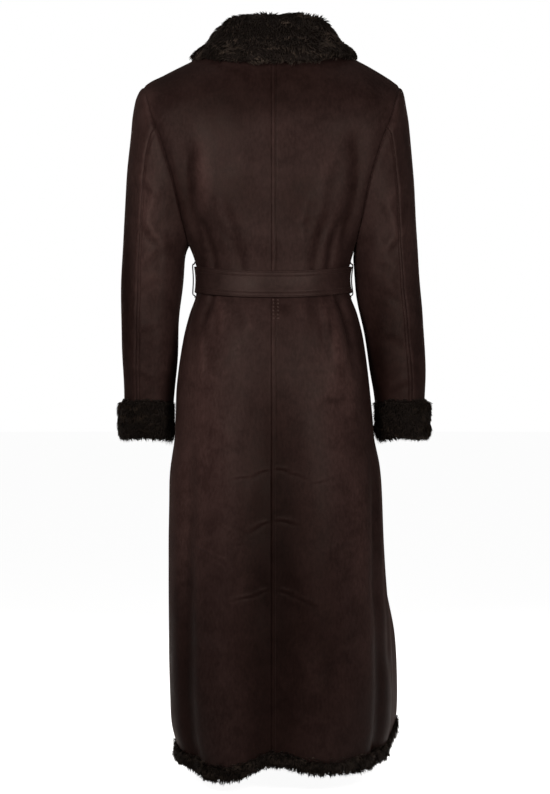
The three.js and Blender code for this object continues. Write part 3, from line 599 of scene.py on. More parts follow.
def suede_material(name, light, middle, dark, relief_strength, sheen, specular, painted_light_attribute=None):
    made, tree, shader = plain_shader(name, sheen, 0.35, (0.8, 0.5, 0.4), specular)
    group = placed(tree, nap)
    for socket, colour in (("Light", light), ("Middle", middle), ("Dark", dark)):
        group.inputs[socket].default_value = (*colour, 1)
    group.inputs["Painted Light"].default_value = 0.5
    # The suede of the panels and sleeves reads its painted light and shade from a stored attribute.
    if painted_light_attribute:
        painted_light = tree.nodes.new("ShaderNodeAttribute")
        painted_light.attribute_name = painted_light_attribute
        tree.links.new(painted_light.outputs["Fac"], group.inputs["Painted Light"])
    bump = tree.nodes.new("ShaderNodeBump")
    bump.inputs["Strength"].default_value = relief_strength
    bump.inputs["Distance"].default_value = 0.0008
    tree.links.new(group.outputs["Color"], shader.inputs["Base Color"])
    tree.links.new(group.outputs["Roughness"], shader.inputs["Roughness"])
    tree.links.new(group.outputs["Height"], bump.inputs["Height"])
    tree.links.new(bump.outputs["Normal"], shader.inputs["Normal"])
    return made


def pile_material(name, root, body, tip, gold, sheen):
    made, tree, shader = plain_shader(name, sheen, 0.3, (0.7, 0.56, 0.48), 0.25)
    group = placed(tree, pile)
    for socket, colour in (("Root", root), ("Body", body), ("Tip", tip), ("Gold", gold)):
        group.inputs[socket].default_value = (*colour, 1)
    strand_map = tree.nodes.new("ShaderNodeUVMap")
    strand_map.uv_map = "strand"
    tree.links.new(strand_map.outputs["UV"], group.inputs["Strand"])
    tree.links.new(group.outputs["Color"], shader.inputs["Base Color"])
    tree.links.new(group.outputs["Roughness"], shader.inputs["Roughness"])
    return made


SUEDE_LIGHT = (0.0338, 0.018, 0.016)
SUEDE_MIDDLE = (0.0236, 0.0122, 0.0108)
SUEDE_DARK = (0.0165, 0.0083, 0.0073)
suede = suede_material("suede_cloth", SUEDE_LIGHT, SUEDE_MIDDLE, SUEDE_DARK, 0.22, 0.04, 0.09, "painted_light")
loop_suede = suede_material("suede_loops", SUEDE_LIGHT, SUEDE_MIDDLE, SUEDE_DARK, 0.22, 0.04, 0.09)
belt_suede = suede_material("suede_belt", SUEDE_LIGHT, SUEDE_MIDDLE, SUEDE_DARK, 0.2, 0.04, 0.15)
thread = suede_material(
    "sewing_thread", (0.045, 0.026, 0.021), (0.03, 0.017, 0.014), (0.018, 0.01, 0.008), 0.15, 0.05, 0.3
)
# The heavy stitches take a lighter copy of the thread, as painted highlight.
heavy_thread = suede_material(
    "sewing_thread_heavy_painted_highlight", (0.08, 0.049, 0.042), (0.062, 0.037, 0.032), (0.045, 0.026, 0.022), 0.15, 0.05, 0.2
)
backing = suede_material(
    "pile_backing", (0.006, 0.0042, 0.0034), (0.0045, 0.003, 0.0025), (0.003, 0.002, 0.0016), 0.5, 0.02, 0.1
)
fur = pile_material(
    "fur_pile",
    root=(0.002, 0.0014, 0.0011),
    body=(0.0072, 0.0052, 0.004),
    tip=(0.07, 0.052, 0.04),
    gold=(0.09, 0.058, 0.034),
    sheen=0.03,
)
# The cuffs take a darker copy of the same pile, as painted shade.
cuff_fur = pile_material(
    "fur_pile_painted_shade",
    root=(0.0016, 0.0011, 0.0009),
    body=(0.0042, 0.003, 0.0023),
    tip=(0.034, 0.023, 0.0155),
    gold=(0.05, 0.034, 0.02),
    sheen=0.03,
)
finishes = (suede, loop_suede, belt_suede, thread, heavy_thread, backing, fur, cuff_fur)
print("finishes:", [made.name for made in finishes])

# %% [markdown]
# A panel starts as a flat grid, as cloth is cut flat, and its points are then laid on the body. The
# grid is Blender's own primitive, so its faces and their order are known. Solidify gives the cloth
# its thickness on the inner side.


# %% Cloth from a grid
def deselect():
    bpy.ops.object.select_all(action="DESELECT")


def pick(piece):
    """Selects one piece alone and makes it the active one."""
    deselect()
    piece.select_set(True)
    bpy.context.view_layer.objects.active = piece


def edit(piece, work):
    """Runs some edit-mode operators on all of one piece."""
    pick(piece)
    bpy.ops.object.mode_set(mode="EDIT")
    bpy.ops.mesh.select_all(action="SELECT")
    work()
    bpy.ops.object.mode_set(mode="OBJECT")


def laid_grid(name, points, outside, hollow=None):
    """A grid primitive laid on points[row][column] in millimetres, its faces towards outside.
    hollow sets the painted shade and painted light at each point: darker deep in a fold and beside stitches,
    lighter on crease ridges."""
    r, c = points.shape[0] // 2, points.shape[1] // 2
    faced = np.cross(points[r, c + 1] - points[r, c], points[r + 1, c] - points[r, c])
    flipped = faced @ outside[r, c] < 0
    if flipped:
        points = points[:, ::-1]
    rows, columns = points.shape[:2]
    deselect()
    bpy.ops.mesh.primitive_grid_add(x_subdivisions=columns - 1, y_subdivisions=rows - 1, size=1)
    piece = bpy.context.object
    piece.name = piece.data.name = name
    piece.data.vertices.foreach_set("co", (points * MM).astype(np.float32).ravel())
    piece.data.update()
    if hollow is not None:
        paint_light_and_shade(piece, points, hollow[:, ::-1] if flipped else hollow)
    return piece


def apply_modifier(piece, kind, **settings):
    pick(piece)
    modifier = piece.modifiers.new(kind.lower(), kind)
    for setting, value in settings.items():
        setattr(modifier, setting, value)
    bpy.ops.object.modifier_apply(modifier=modifier.name)


def finish_piece(piece, material, nodes=()):
    """Gives a piece its material, its body and the solids that it stands for."""
    piece.data.materials.clear()
    piece.data.materials.append(material)
    pick(piece)
    bpy.ops.object.shade_smooth()
    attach(piece, "root")
    if nodes:
        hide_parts(*nodes)
    triangles = sum(len(p.vertices) - 2 for p in piece.data.polygons)
    print(f"{piece.name}: {triangles} triangles")
    return piece


def cloth_piece(name, points, out, hollow):
    """One piece of suede, with its thickness on the inner side."""
    piece = laid_grid(f"cloth_{name}", points, out, hollow)
    apply_modifier(piece, "SOLIDIFY", thickness=WALL * MM, offset=-1, use_even_offset=False)
    return finish_piece(piece, suede, [name])


def joined_pieces(name, corners, faces):
    """One mesh of many small solids with the same faces, and the corner at each face's corners."""
    after_all = corners.shape[1] * np.arange(len(corners))[:, None, None]
    loops = (np.array(faces)[None] + after_all).reshape(-1, 3)
    mesh = bpy.data.meshes.new(name)
    mesh.from_pydata((corners.reshape(-1, 3) * MM).tolist(), [], loops.tolist())
    piece = bpy.data.objects.new(name, mesh)
    bpy.context.collection.objects.link(piece)
    return piece, loops.ravel()


def sheet_area(points):
    """Area of the outer face in square metres."""
    a, b = points[:-1, :-1], points[1:, 1:]
    c, d = points[:-1, 1:], points[1:, :-1]
    return float(np.linalg.norm(np.cross(b - a, d - c), axis=-1).sum() / 2 * MM * MM)


# %% [markdown]
# Worn cloth is never quite smooth. Besides the deep folds in the table above there are short creases,
# where the skirt has been sat on and where the sleeve bends, and a slow unevenness all over. A crease
# is a soft ridge with a trough under it, so that it catches the light on one side only.

# %% Creases and unevenness
CREASES = table(  # on the back (1) or the front (-1): both ends, bow, half-width, depth
    "face x0 z0 x1 z1 bow width depth",
    (1, 62, -529, 28, -518, 3, 3.0, 1.16),
    (1, 24, -520, 2, -522, 2, 3.0, 0.87),
    (1, -88, -448, -101, -532, -5, 5, 1.7),
    (1, 114, -490, 117, -590, -4, 6, 1.3),
    (1, 90, -478, 52, -470, 3, 4, 0.72),
    (1, 100, -560, 66, -574, 3, 4, 0.72),
    (1, -24, -512, -58, -520, 3, 4, 0.58),
    (1, -40, -566, -88, -552, 4, 5, 0.72),
    (1, 30, -250, -30, -262, 5, 8, 0.72),
    (1, 70, -214, 20, -226, 5, 9, 0.72),
    (1, -30, -330, -80, -300, 6, 8, 0.87),
    (1, 64, -741, 34, -737, 2, 2.6, 0.8),
    (1, 36, -739, 1, -725, 3, 2.8, 0.95),
    (1, -3, -724, -34, -731, 3, 3.0, 1),
    (1, -30, -730, -62, -743, 2, 2.6, 0.87),
    (1, -66, -746, -100, -737, -3, 3.4, 0.58),
    (1, 40, -832, 3, -811, 3, 2.8, 1.3),
    (1, -3, -810, -44, -818, 4, 3.2, 1.1),
    (1, 70, -943, 28, -935, 3, 2.8, 1.01),
    (1, 30, -936, 4, -924, 2, 2.8, 1.3),
    (1, -10, -925, -46, -938, 3, 3.4, 1.3),
    (1, -44, -936, -80, -956, 3, 3.0, 1.3),
    (1, 130, -854, 92, -872, 3, 3.0, 1),
    (1, 96, -868, 66, -892, 3, 2.8, 1.3),
    (1, 84, -815, 46, -862, 4, 2.6, 1),
    (1, 122, -905, 84, -934, 4, 3.0, 0.72),
    (1, 112, -660, 66, -690, 8, 9, 0.87),
    (1, -70, -628, -118, -606, 8, 9, 0.87),
    (1, -84, -704, -112, -690, 3, 4, 0.58),
    (1, 96, -776, 60, -792, 4, 4, 0.58),
    (1, 60, -585, 24, -600, 4, 5, 0.58),
    (1, -20, -640, -66, -652, 5, 6, 0.58),
    (1, -100, -868, -140, -846, 6, 8, 0.87),
    (1, 16, -1082, -24, -1098, 8, 10, 1.16),
    (1, -30, -1128, -52, -1150, 5, 7, 1.01),
    (1, 120, -1010, 80, -1034, 6, 9, 0.72),
    (1, -66, -1064, -110, -1040, 8, 10, 0.72),
    (1, 128, -170, 92, -330, -14, 17, 1.3),
    (1, -124, -180, -92, -330, 14, 16, 1.2),
    (1, 96, -262, 60, -345, -8, 9, 1.3),
    (1, -70, -262, -58, -345, 6, 9, 1.3),
    (1, 66, -446, 42, -500, 6, 9, 1.3),
    (1, -30, -452, -58, -480, 6, 9, 1.16),
    (1, 104, -430, 92, -505, 8, 7, 1.3),
    (1, -76, -424, -96, -485, -6, 7, 1.4),
    (-1, -96, -240, -52, -300, 8, 10, 1.2),
    (-1, 98, -232, 60, -310, -8, 10, 1.2),
    (-1, -30, -470, -84, -520, 8, 9, 1.3),
    (-1, 84, -446, 30, -500, 8, 9, 1.2),
    (-1, -36, -736, -104, -742, 3, 3, 0.9),
    (-1, 104, -738, 52, -728, 3, 3, 0.8),
    (-1, -60, -828, -116, -816, 4, 3, 0.8),
    (-1, 24, -930, 88, -946, -4, 3, 0.9),
    (-1, -20, -948, -96, -936, 4, 3, 0.9),
    (-1, -40, -1090, -120, -1066, 8, 12, 0.8),
)
SLEEVE_CREASES = table(
    "face x0 z0 x1 z1 bow width depth",
    (1, 240, -306, 192, -352, 8, 10, 1.52),
    (1, 180, -352, 226, -396, 8, 9, 1.33),
    (1, 184, -402, 236, -436, 8, 8, 1.14),
    (1, 240, -228, 202, -268, 6, 11, 1.33),
    (1, 186, -480, 240, -506, 6, 9, 0.95),
    (1, 248, -556, 200, -584, 5, 8, 1.14),
    (1, 182, -250, 204, -320, 8, 10, 1.9),
    (-1, 240, -352, 190, -384, 8, 8, 1.8),
    (-1, 182, -418, 236, -396, 8, 8, 1.8),
    (-1, 240, -440, 190, -462, 8, 7, 1.56),
    (-1, 186, -290, 226, -250, 8, 9, 1.56),
    (-1, 190, -540, 240, -562, 6, 8, 1.32),
)
SEAM_ROLL_WIDTH, SEAM_ROLL_FADE = 2.8, 17.0
NEAR_SEAM, NEAR_STITCHES = (0.9, 2.0, 3.4, 5.2), (-2.6, -1.3, 0.0, 1.3, 2.6)
TOPSTITCH_DEPTH, TOPSTITCH_WIDTH = 1.2, 1.5
BACK_TOPSTITCH, SLEEVE_TOPSTITCH, FRONT_TOPSTITCH = 7.0, 6.0, 8.0
RIPPLE_SEED, RIPPLE_WAVES = 7, 26
RIPPLE_LENGTHS = (55, 190)  # millimetres from crest to crest


def crease_push(points, tab, mirror=1):
    """How far the creases of a table push each point out."""
    push = np.zeros(points.shape[:-1])
    x, y, z = mirror * points[..., 0], points[..., 1], points[..., 2]
    for face, x0, z0, x1, z1, bow, width, depth in zip(*tab.values()):
        length = math.hypot(x1 - x0, z1 - z0)
        way = np.array([x1 - x0, z1 - z0]) / length
        rise = np.array([-way[1], way[0]]) * (1 if way[0] > 0 else -1)
        share = ((x - x0) * way[0] + (z - z0) * way[1]) / length
        off = (x - x0) * rise[0] + (z - z0) * rise[1] - bow * 4 * share * (1 - share)
        taper = smooth(-0.12, 0.3, share) * smooth(1.12, 0.7, share)
        ridge = np.exp(-(((off - 0.6 * width) / width) ** 2))
        trough = np.exp(-(((off + 0.6 * width) / width) ** 2))
        push += depth * (ridge - trough) * taper * smooth(-15, 25, face * y)
    return push


def ripple(points, height):
    """Slow unevenness, as a sum of waves in fixed directions."""
    chance = np.random.default_rng(RIPPLE_SEED)
    ways = unit(chance.normal(size=(RIPPLE_WAVES, 3)) * (1.0, 1.0, 0.7))
    lengths = chance.uniform(*RIPPLE_LENGTHS, RIPPLE_WAVES)
    starts = chance.uniform(0, 2 * math.pi, RIPPLE_WAVES)
    total = np.zeros(points.shape[:-1])
    for way, length, start in zip(ways, lengths, starts):
        total += np.cos(points @ way * (2 * math.pi / length) + start) * length / RIPPLE_LENGTHS[1]
    return height * total / math.sqrt(RIPPLE_WAVES / 2) * 2


def along_rows(points):
    """Distance of each point from the first column, along its row."""
    steps = np.linalg.norm(np.diff(points, axis=1), axis=-1)
    return np.concatenate([np.zeros((len(points), 1)), np.cumsum(steps, axis=1)], axis=1)


def seam_roll(distance, height):
    """Cloth rises away from a sewn edge and settles again; at the edge itself it stays put."""
    rise = 1 - np.exp(-((distance / SEAM_ROLL_WIDTH) ** 2))
    return height * rise * np.exp(-((distance / SEAM_ROLL_FADE) ** 2))


def topstitched(distance, place):
    """The groove that a row of stitches pulls into the cloth."""
    return -TOPSTITCH_DEPTH * np.exp(-(((distance - place) / TOPSTITCH_WIDTH) ** 2))


def edge_spacing(count, first, last, stitched=0):
    """Shares from 0 to 1, closer at sewn edges and beside a row of stitches; widths in millimetres."""
    even = np.linspace(0, 1, count)
    extra = []
    if first:
        extra.append(np.array(NEAR_SEAM) / first)
    if last:
        extra.append(1 - np.array(NEAR_SEAM) / last)
    if stitched:
        extra.append((stitched + np.array(NEAR_STITCHES)) / first)
    return np.unique(np.concatenate([even, *extra]).round(6))


def row_at(points, out, distance):
    """The line on a piece that runs a distance in from its first column."""
    run = along_rows(points)
    columns = [np.searchsorted(line, distance) for line in run]
    share = [(distance - line[c - 1]) / (line[c] - line[c - 1]) for line, c in zip(run, columns)]
    rows, columns, share = np.arange(len(points)), np.array(columns), np.array(share)[:, None]
    place = mix(points[rows, columns - 1], points[rows, columns], share)
    return place, unit(mix(out[rows, columns - 1], out[rows, columns], share))


# %% [markdown]
# Light and shade are painted into the suede's colour: darker and redder where it is shaded, lighter where it
# is lit. The large soft patches are listed in stops of light, the bottoms of the folds are a little darker,
# and the crease ridges are lighter.

# %% Where light and shade are painted on the suede
# Painted light and painted shade in soft patches, in stops.
PAINTED_LIGHT_PATCHES = table(  # on the back (1) or the front (-1): middle, half-width, half-height, stops
    "face x z wide high stops",
    (1, -23, -880, 66, 260, -0.8),
    (1, 150, -800, 26, 200, 1.25),
    (1, 128, -800, 18, 220, 0.3),
    (1, -180, -960, 18, 110, 0.7),
    (1, -158, -950, 20, 170, 0.4),
    (1, -95, -1060, 24, 90, -0.4),
    (1, -132, -570, 12, 70, 0.7),
    (1, 148, -530, 12, 60, 0.8),
    (1, -187, -570, 13, 80, -1.0),
    (1, 172, -600, 10, 40, -1.1),
    (1, -237, -420, 14, 150, 0.45),
    (1, 226, -220, 20, 150, 0.4),
    (1, -212, -110, 20, 50, 0.5),
    (1, 215, -95, 20, 40, 0.6),
    (1, -97, -505, 6, 34, -1.0),
    (1, -108, -515, 6, 30, 0.5),
    (1, 110, -450, 8, 22, -0.6),
    (1, -145, -830, 24, 120, 0.5),
    (1, -86, -850, 20, 220, -0.4),
    (1, -15, -150, 44, 44, 0.3),
    (1, 0, -1020, 240, 300, -0.4),
    (1, 212, -280, 42, 170, 0.4),
    (1, 188, -560, 26, 80, 0.6),
    (1, 95, -445, 22, 48, 0.45),
    (1, -107, -390, 13, 110, 0.5),
    (1, 122, -190, 16, 60, 0.4),
    (1, -22, -458, 15, 10, -0.6),
    (1, -63, -482, 9, 38, -0.35),
    (1, 50, -470, 8, 20, -0.4),
    (1, 2, -92, 150, 42, -0.75),
    (1, 90, -125, 70, 40, -0.45),
    (1, 110, -680, 48, 210, 0.65),
    (1, -104, -650, 24, 130, 0.5),
    (1, -110, -640, 70, 240, 0.15),
    (1, 62, -272, 48, 40, -0.5),
    (1, -58, -280, 38, 48, -0.75),
    (1, 119, -262, 14, 62, 0.5),
    (1, 158, -1060, 30, 150, -0.45),
    (1, 199, -540, 26, 95, -0.6),
    (1, 165, -255, 24, 62, -0.6),
    (1, -205, -510, 48, 130, -0.9),
    (1, 254, -440, 14, 170, -1.0),
    (-1, 95, -650, 55, 200, 0.45),
    (-1, -95, -640, 60, 200, 0.4),
    (-1, 5, -950, 85, 230, -0.6),
    (-1, 130, -120, 60, 46, -0.4),
    (-1, -130, -120, 60, 46, -0.4),
    (-1, 215, -500, 40, 120, -0.5),
    (-1, -215, -500, 40, 120, -0.5),
)
# How dark the painted shade in folds gets, and how strong the painted highlight on ridges and the painted
# shade at stitches are.
FOLD_SHADE_STOPS, FOLD_SHADE_DEPTH = 0.5, 9.0
RIDGE_LIGHT, STITCH_DARK = 7.0, 10.0


def paint_light_and_shade(piece, points, hollow):
    """Stores the painted light and shade at each point of a laid grid, before it is given its thickness."""
    # Painted shade in the bottoms of folds, painted highlight on the ridges.
    stops = -FOLD_SHADE_STOPS * np.clip(hollow / FOLD_SHADE_DEPTH, -0.9, 1.2)
    x, y, z = points[..., 0], points[..., 1], points[..., 2]
    for face, at, height, wide, high, amount in zip(*PAINTED_LIGHT_PATCHES.values()):
        patch = np.exp(-(((x - at) / wide) ** 2) - np.abs((z - height) / high) ** 3)
        stops = stops + amount * patch * smooth(-25, 25, face * y)
    low, high = PAINTED_LIGHT_RANGE
    share = np.clip((2.0**stops - low) / (high - low), 0, 1)
    stored = piece.data.attributes.new("painted_light", "FLOAT", "POINT")
    stored.data.foreach_set("value", share.astype(np.float32).ravel())


def painted_seam_shade_and_light(distance, place):
    """Painted shade along a row of stitches, and a painted highlight on the ridge between it and the seam."""
    dark = STITCH_DARK * np.exp(-(((distance - place) / 1.8) ** 2))
    return dark - RIDGE_LIGHT * np.exp(-(((distance - place * 0.5) / 1.7) ** 2))


# %% [markdown]
# The two backs and the two fronts run from the shoulder to the hem without a join at the waist. The
# upper part of each grid is laid out so that its outer edge follows the armhole and its top follows
# the neckline and shoulder seam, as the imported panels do.

# %% The four body panels
UPPER_ROWS, LOWER_ROWS, PANEL_COLUMNS = 64, 200, 52
PANEL_HEM = HEM_Z + HEM_HEIGHT
NECK_SHARE = 6 / 16  # of the back's width at the top, the part that ends at the neckline
RIPPLE_HEIGHT = 0.9
FINE_BANDS, FINE_FACTOR = ((-535, 8), (-735, 16), (-820, 18), (-865, 22), (-938, 24)), 3.2
PANEL_WIDTH = 200
TUCKED = 8.0  # how far an edge runs on behind the fur


def skirt_rows(count):
    """Heights from the hem up, as shares, closer together where the fine creases are."""
    share = np.linspace(0, 1, 1400)
    z = mix(PANEL_HEM - TUCKED, UNDERARM_Z, share)
    closeness = np.ones_like(z)
    for middle, reach in FINE_BANDS:
        closeness += FINE_FACTOR * smooth(reach + 8, reach - 4, np.abs(z - middle))
    total = np.concatenate([[0], np.cumsum((closeness[1:] + closeness[:-1]) / 2)])
    return np.interp(np.linspace(0, total[-1], count), total, share)


def armhole_angle(z, front):
    return angle_at(read(ARMHOLE, "reach", z), z, front)


def top_reach(share, front):
    tip = ARMHOLE["reach"][0]
    if front:
        return mix(NECK_HALF, tip, share)
    curved = NECK_HALF * np.sin(np.minimum(share / NECK_SHARE, 1) * math.pi / 2)
    return np.where(share <= NECK_SHARE, curved, mix(NECK_HALF, tip, (share - NECK_SHARE) / (1 - NECK_SHARE)))


def top_share(reach, front):
    level = np.zeros_like(reach)
    start = float(angle_at(np.array(NECK_HALF), 0.0, True)) if front else 0.0
    end = float(armhole_angle(np.array(SHOULDER_TIP_Z), front))
    return (angle_at(reach, level, front) - start) / (end - start)


def panel_points(side, front):
    """The outer face of one panel from the hem up, the way out of it, and its depth in folds."""
    stitched = FRONT_TOPSTITCH if front else BACK_TOPSTITCH
    shares = edge_spacing(PANEL_COLUMNS, PANEL_WIDTH, PANEL_WIDTH, stitched if front or side < 0 else 0)
    reach = top_reach(shares, front)
    drop = 1 - skirt_rows(LOWER_ROWS)
    low_z = mix(PANEL_HEM - TUCKED, UNDERARM_Z, 1 - drop)[:, None]
    edge = front_edge(low_z) if front else np.zeros_like(low_z)
    angle_low = side * mix(edge, math.pi / 2, shares[None, :])
    z_low = low_z + hem_lift(angle_low) * (drop[:, None] ** (6 / 1.4))
    climb = (1 - np.cos(math.pi * np.linspace(0, 1, UPPER_ROWS + 1)[1:, None])) / 2
    edge_top = 0.0 if front else -NAPE_DROP
    edge_z = mix(UNDERARM_Z, edge_top, climb)
    seam_z = mix(UNDERARM_Z, SHOULDER_TIP_Z, climb)
    edge = front_edge(edge_z) if front else np.zeros_like(edge_z)
    share = mix(shares[None, :], top_share(reach, front)[None, :], climb)
    angle_high = side * mix(edge, armhole_angle(seam_z, front), share)
    z_high = mix(UNDERARM_Z, top_edge(side * reach)[None, :], climb)
    angle = np.concatenate([angle_low, angle_high])
    z = np.concatenate([z_low, z_high + 0 * angle_high])
    points, out = skin(angle, z), skin_out(angle, z)
    if front and side > 0:
        points = points - out * underlap(points)[..., None]
    return points, out, -fold_push(angle, z)


def dressed(points, out, side, front):
    """Adds seams, creases and unevenness to a panel's outer face."""
    from_first = along_rows(points)
    from_last = from_first[:, -1:] - from_first
    push = crease_push(points, CREASES) + ripple(points, RIPPLE_HEIGHT)
    from_top = np.linalg.norm(points - points[-1:], axis=-1)
    push = push * smooth(0, 24, from_last) * smooth(0, 24, from_top) + seam_roll(from_last, 1.8)
    if front:
        push = push + topstitched(from_first, FRONT_TOPSTITCH)
    else:
        push = push * smooth(-18, 20, from_first) + seam_roll(from_first, 0.45)
    if side < 0 and not front:
        push = push + topstitched(from_first, BACK_TOPSTITCH)
    on_seam = np.abs(points[-1:, :, 0]) > NECK_HALF
    push = push + np.where(on_seam, seam_roll(from_top, 1.2) * smooth(0, 20, from_last), 0)
    return points + out * push[..., None]


def tuck_under(points, out, hollow):
    """Adds a column that sends the armhole edge a little way under the sleeve."""
    way = unit(points[:, -1:] - points[:, -3:-2])
    share = smooth(UNDERARM_Z, UNDERARM_Z + 12, points[:, -1:, 2:])
    edge = points[:, -1:] + way * (3.5 * share) - out[:, -1:] * (0.3 + 2.1 * share)
    out, hollow = (np.concatenate([grid, grid[:, -1:]], axis=1) for grid in (out, hollow))
    return np.concatenate([points, edge], axis=1), out, hollow


PANELS = {}
for label, side in SIDES:
    for part, front in (("back", False), ("front", True)):
        name = f"{part}_{label}"
        points, out, hollow = panel_points(side, front)
        # Painted highlight along the crease ridges.
        hollow = hollow - RIDGE_LIGHT * np.clip(crease_push(points, CREASES), 0, None)
        if front or side < 0:
            # Painted shade along the row of stitches, painted highlight between it and the seam.
            hollow = hollow + painted_seam_shade_and_light(along_rows(points), FRONT_TOPSTITCH if front else BACK_TOPSTITCH)
        points, out, hollow = tuck_under(dressed(points, out, side, front), out, hollow)
        PANELS[name] = points, out
        print(name, "area", round(sheet_area(points), 3), "rows and columns", points.shape[:2])
        cloth_piece(name, points, out, hollow)

# %% [markdown]
# A sleeve is two pieces, an upper one over the outer arm and an under one. Both are laid on one tube,
# which starts on the body's armhole and narrows to the wrist.

# %% The sleeves
SLEEVE_FINE_ROWS, SLEEVE_LENGTH = 124, 540
SLEEVE_WIDTH = 150
SLEEVE_CREASE_SHIFT = {"left": 0, "right": 19}


def armhole_point(turn, side):
    middle = (SHOULDER_TIP_Z + UNDERARM_Z) / 2
    z = middle + (SHOULDER_TIP_Z - middle) * np.cos(turn)
    in_front = np.sin(turn) < -1e-9
    return skin(side * np.where(in_front, armhole_angle(z, True), armhole_angle(z, False)), z)


def sleeve_form(turn, row, side):
    """The plain tube; turn runs round it from the outer line, backwards first."""
    swing = 0.0
    if side < 0:
        swing = RIGHT_SWING_ARM * smooth(0, 4, row) + RIGHT_SWING_WRIST * smooth(7, SLEEVE_ROWS, row)
    out_x, out_z, in_x, in_z, forward = (
        read(SLEEVE, column, row, "row") for column in ("out_x", "out_z", "in_x", "in_z", "forward")
    )
    inward = (1 - np.cos(turn)) / 2
    deep = by_side(read(SLEEVE, "back", row, "row"), read(SLEEVE, "front", row, "row"), np.sin(turn))
    x = side * (mix(out_x, in_x, inward) + swing)
    return np.stack([x, deep * np.sin(turn) - forward, mix(out_z, in_z, inward)], axis=-1)


def sleeve_middle(turn, row, side):
    return (sleeve_form(turn, row, side) + sleeve_form(turn + math.pi, row, side)) / 2


def sleeve_skin(turn, row, side):
    """The tube sewn to the armhole, with its folds."""
    turn, row = np.broadcast_arrays(turn, row)
    points = sleeve_form(turn, row, side)
    held = (1 - smooth(0, 5, row)) ** 1.5
    points = points + held[..., None] * (armhole_point(turn, side) - sleeve_form(turn, 0 * row, side))
    step = (turn / (2 * math.pi) * SLEEVE_STEPS) % SLEEVE_STEPS
    for at, fold_step, rows, steps, push in zip(*SLEEVE_FOLDS.values()):
        reach = np.exp(-(((step - fold_step) / steps) ** 2) - ((row - at) / rows) ** 2)
        points = points + unit(points - sleeve_middle(turn, row, side)) * (push * reach)[..., None]
    return points


def run_on(points):
    """Adds two rows that send an edge straight on behind the fur."""
    way = unit(points[-1:] - points[-3:-2])
    return np.concatenate([points, points[-1:] + way * TUCKED / 2, points[-1:] + way * TUCKED])


def tuck_in(points, out):
    """Adds a row that sends the sewn edge a little way under the body's panels."""
    way = unit(points[:1] - points[1:2])
    return np.concatenate([points[:1] + way * 3.5 - out[:1] * 2.4, points]), np.concatenate([out[:1], out])


def sleeve_out(turn, row, side):
    inside = np.clip(row, 0.05, SLEEVE_ROWS - 0.05)
    return side * outward(lambda a, b: sleeve_skin(a, b, side), turn, inside, 0.02, 0.05)


SLEEVE_PIECES = {  # first and last step round the tube, and columns
    "top": (SLEEVE_FRONT_SEAM - SLEEVE_STEPS, SLEEVE_BACK_SEAM, 40),
    "under": (SLEEVE_BACK_SEAM, SLEEVE_FRONT_SEAM, 52),
}
SLEEVES = {}
for label, side in SIDES:
    for part, (first, last, columns) in SLEEVE_PIECES.items():
        name = f"sleeve_{part}_{label}"
        stitched = SLEEVE_TOPSTITCH if part == "under" else 0
        shares = edge_spacing(columns, SLEEVE_WIDTH, SLEEVE_WIDTH, stitched)
        turn = mix(first, last, shares)[None, :] / SLEEVE_STEPS * 2 * math.pi
        row = edge_spacing(SLEEVE_FINE_ROWS, SLEEVE_LENGTH, 0)[:, None] * SLEEVE_ROWS
        turn, row = np.broadcast_arrays(turn, row)
        points, out = sleeve_skin(turn, row, side), sleeve_out(turn, row, side)
        from_first = along_rows(points)
        near_seam = np.minimum(from_first, from_first[:, -1:] - from_first)
        from_armhole = np.linalg.norm(points - points[:1], axis=-1)
        shift = np.array([0, 0, SLEEVE_CREASE_SHIFT[label]])
        creases = crease_push(points + shift, SLEEVE_CREASES, side)
        push = creases + ripple(points, RIPPLE_HEIGHT * 0.9)
        push *= smooth(0, 30, from_armhole) * (0.3 + 0.7 * smooth(0, 14, near_seam))
        push += seam_roll(near_seam, 1.4) * smooth(0, 20, from_armhole) + seam_roll(from_armhole, 2.2)
        if stitched:
            push += topstitched(from_first, SLEEVE_TOPSTITCH) * smooth(0, 8, from_armhole)
        points, out = tuck_in(run_on(points + out * push[..., None]), np.concatenate([out, out[-2:]]))
        SLEEVES[name] = points, out
        print(name, "area", round(sheet_area(points), 3))
        hollow = np.zeros(points.shape[:2])
        # Painted highlight along the sleeve's crease ridges.
        hollow[1 : 1 + len(creases)] -= RIDGE_LIGHT * 0.6 * np.clip(creases, 0, None)
        cloth_piece(name, points, out, hollow)

# %% [markdown]
# The belt, its ends, the loops and the fur pieces are closed forms swept along a line. A ring starts as
# a torus and an open sweep as a flat grid whose two long edges are joined, and then both are laid on
# their sections.


# %% Closed sweeps
def laid_ring(name, sections):
    """A torus primitive laid on sections[step][point] in millimetres."""
    steps, around = sections.shape[:2]
    deselect()
    bpy.ops.mesh.primitive_torus_add(
        major_segments=steps, minor_segments=around, major_radius=1, minor_radius=0.2
    )
    piece = bpy.context.object
    piece.name = piece.data.name = name
    piece.data.vertices.foreach_set("co", (sections * MM).astype(np.float32).ravel())
    piece.data.update()
    edit(piece, lambda: bpy.ops.mesh.normals_make_consistent(inside=False))
    return piece


def laid_sweep(name, sections):
    """A grid primitive closed to a tube, with its two ends filled."""
    looped = np.concatenate([sections, sections[:, :1]], axis=1)
    piece = laid_grid(name, looped, np.ones_like(looped))

    def close():
        bpy.ops.mesh.remove_doubles(threshold=1e-6)
        bpy.ops.mesh.fill_holes(sides=0)
        bpy.ops.mesh.normals_make_consistent(inside=False)

    edit(piece, close)
    return piece


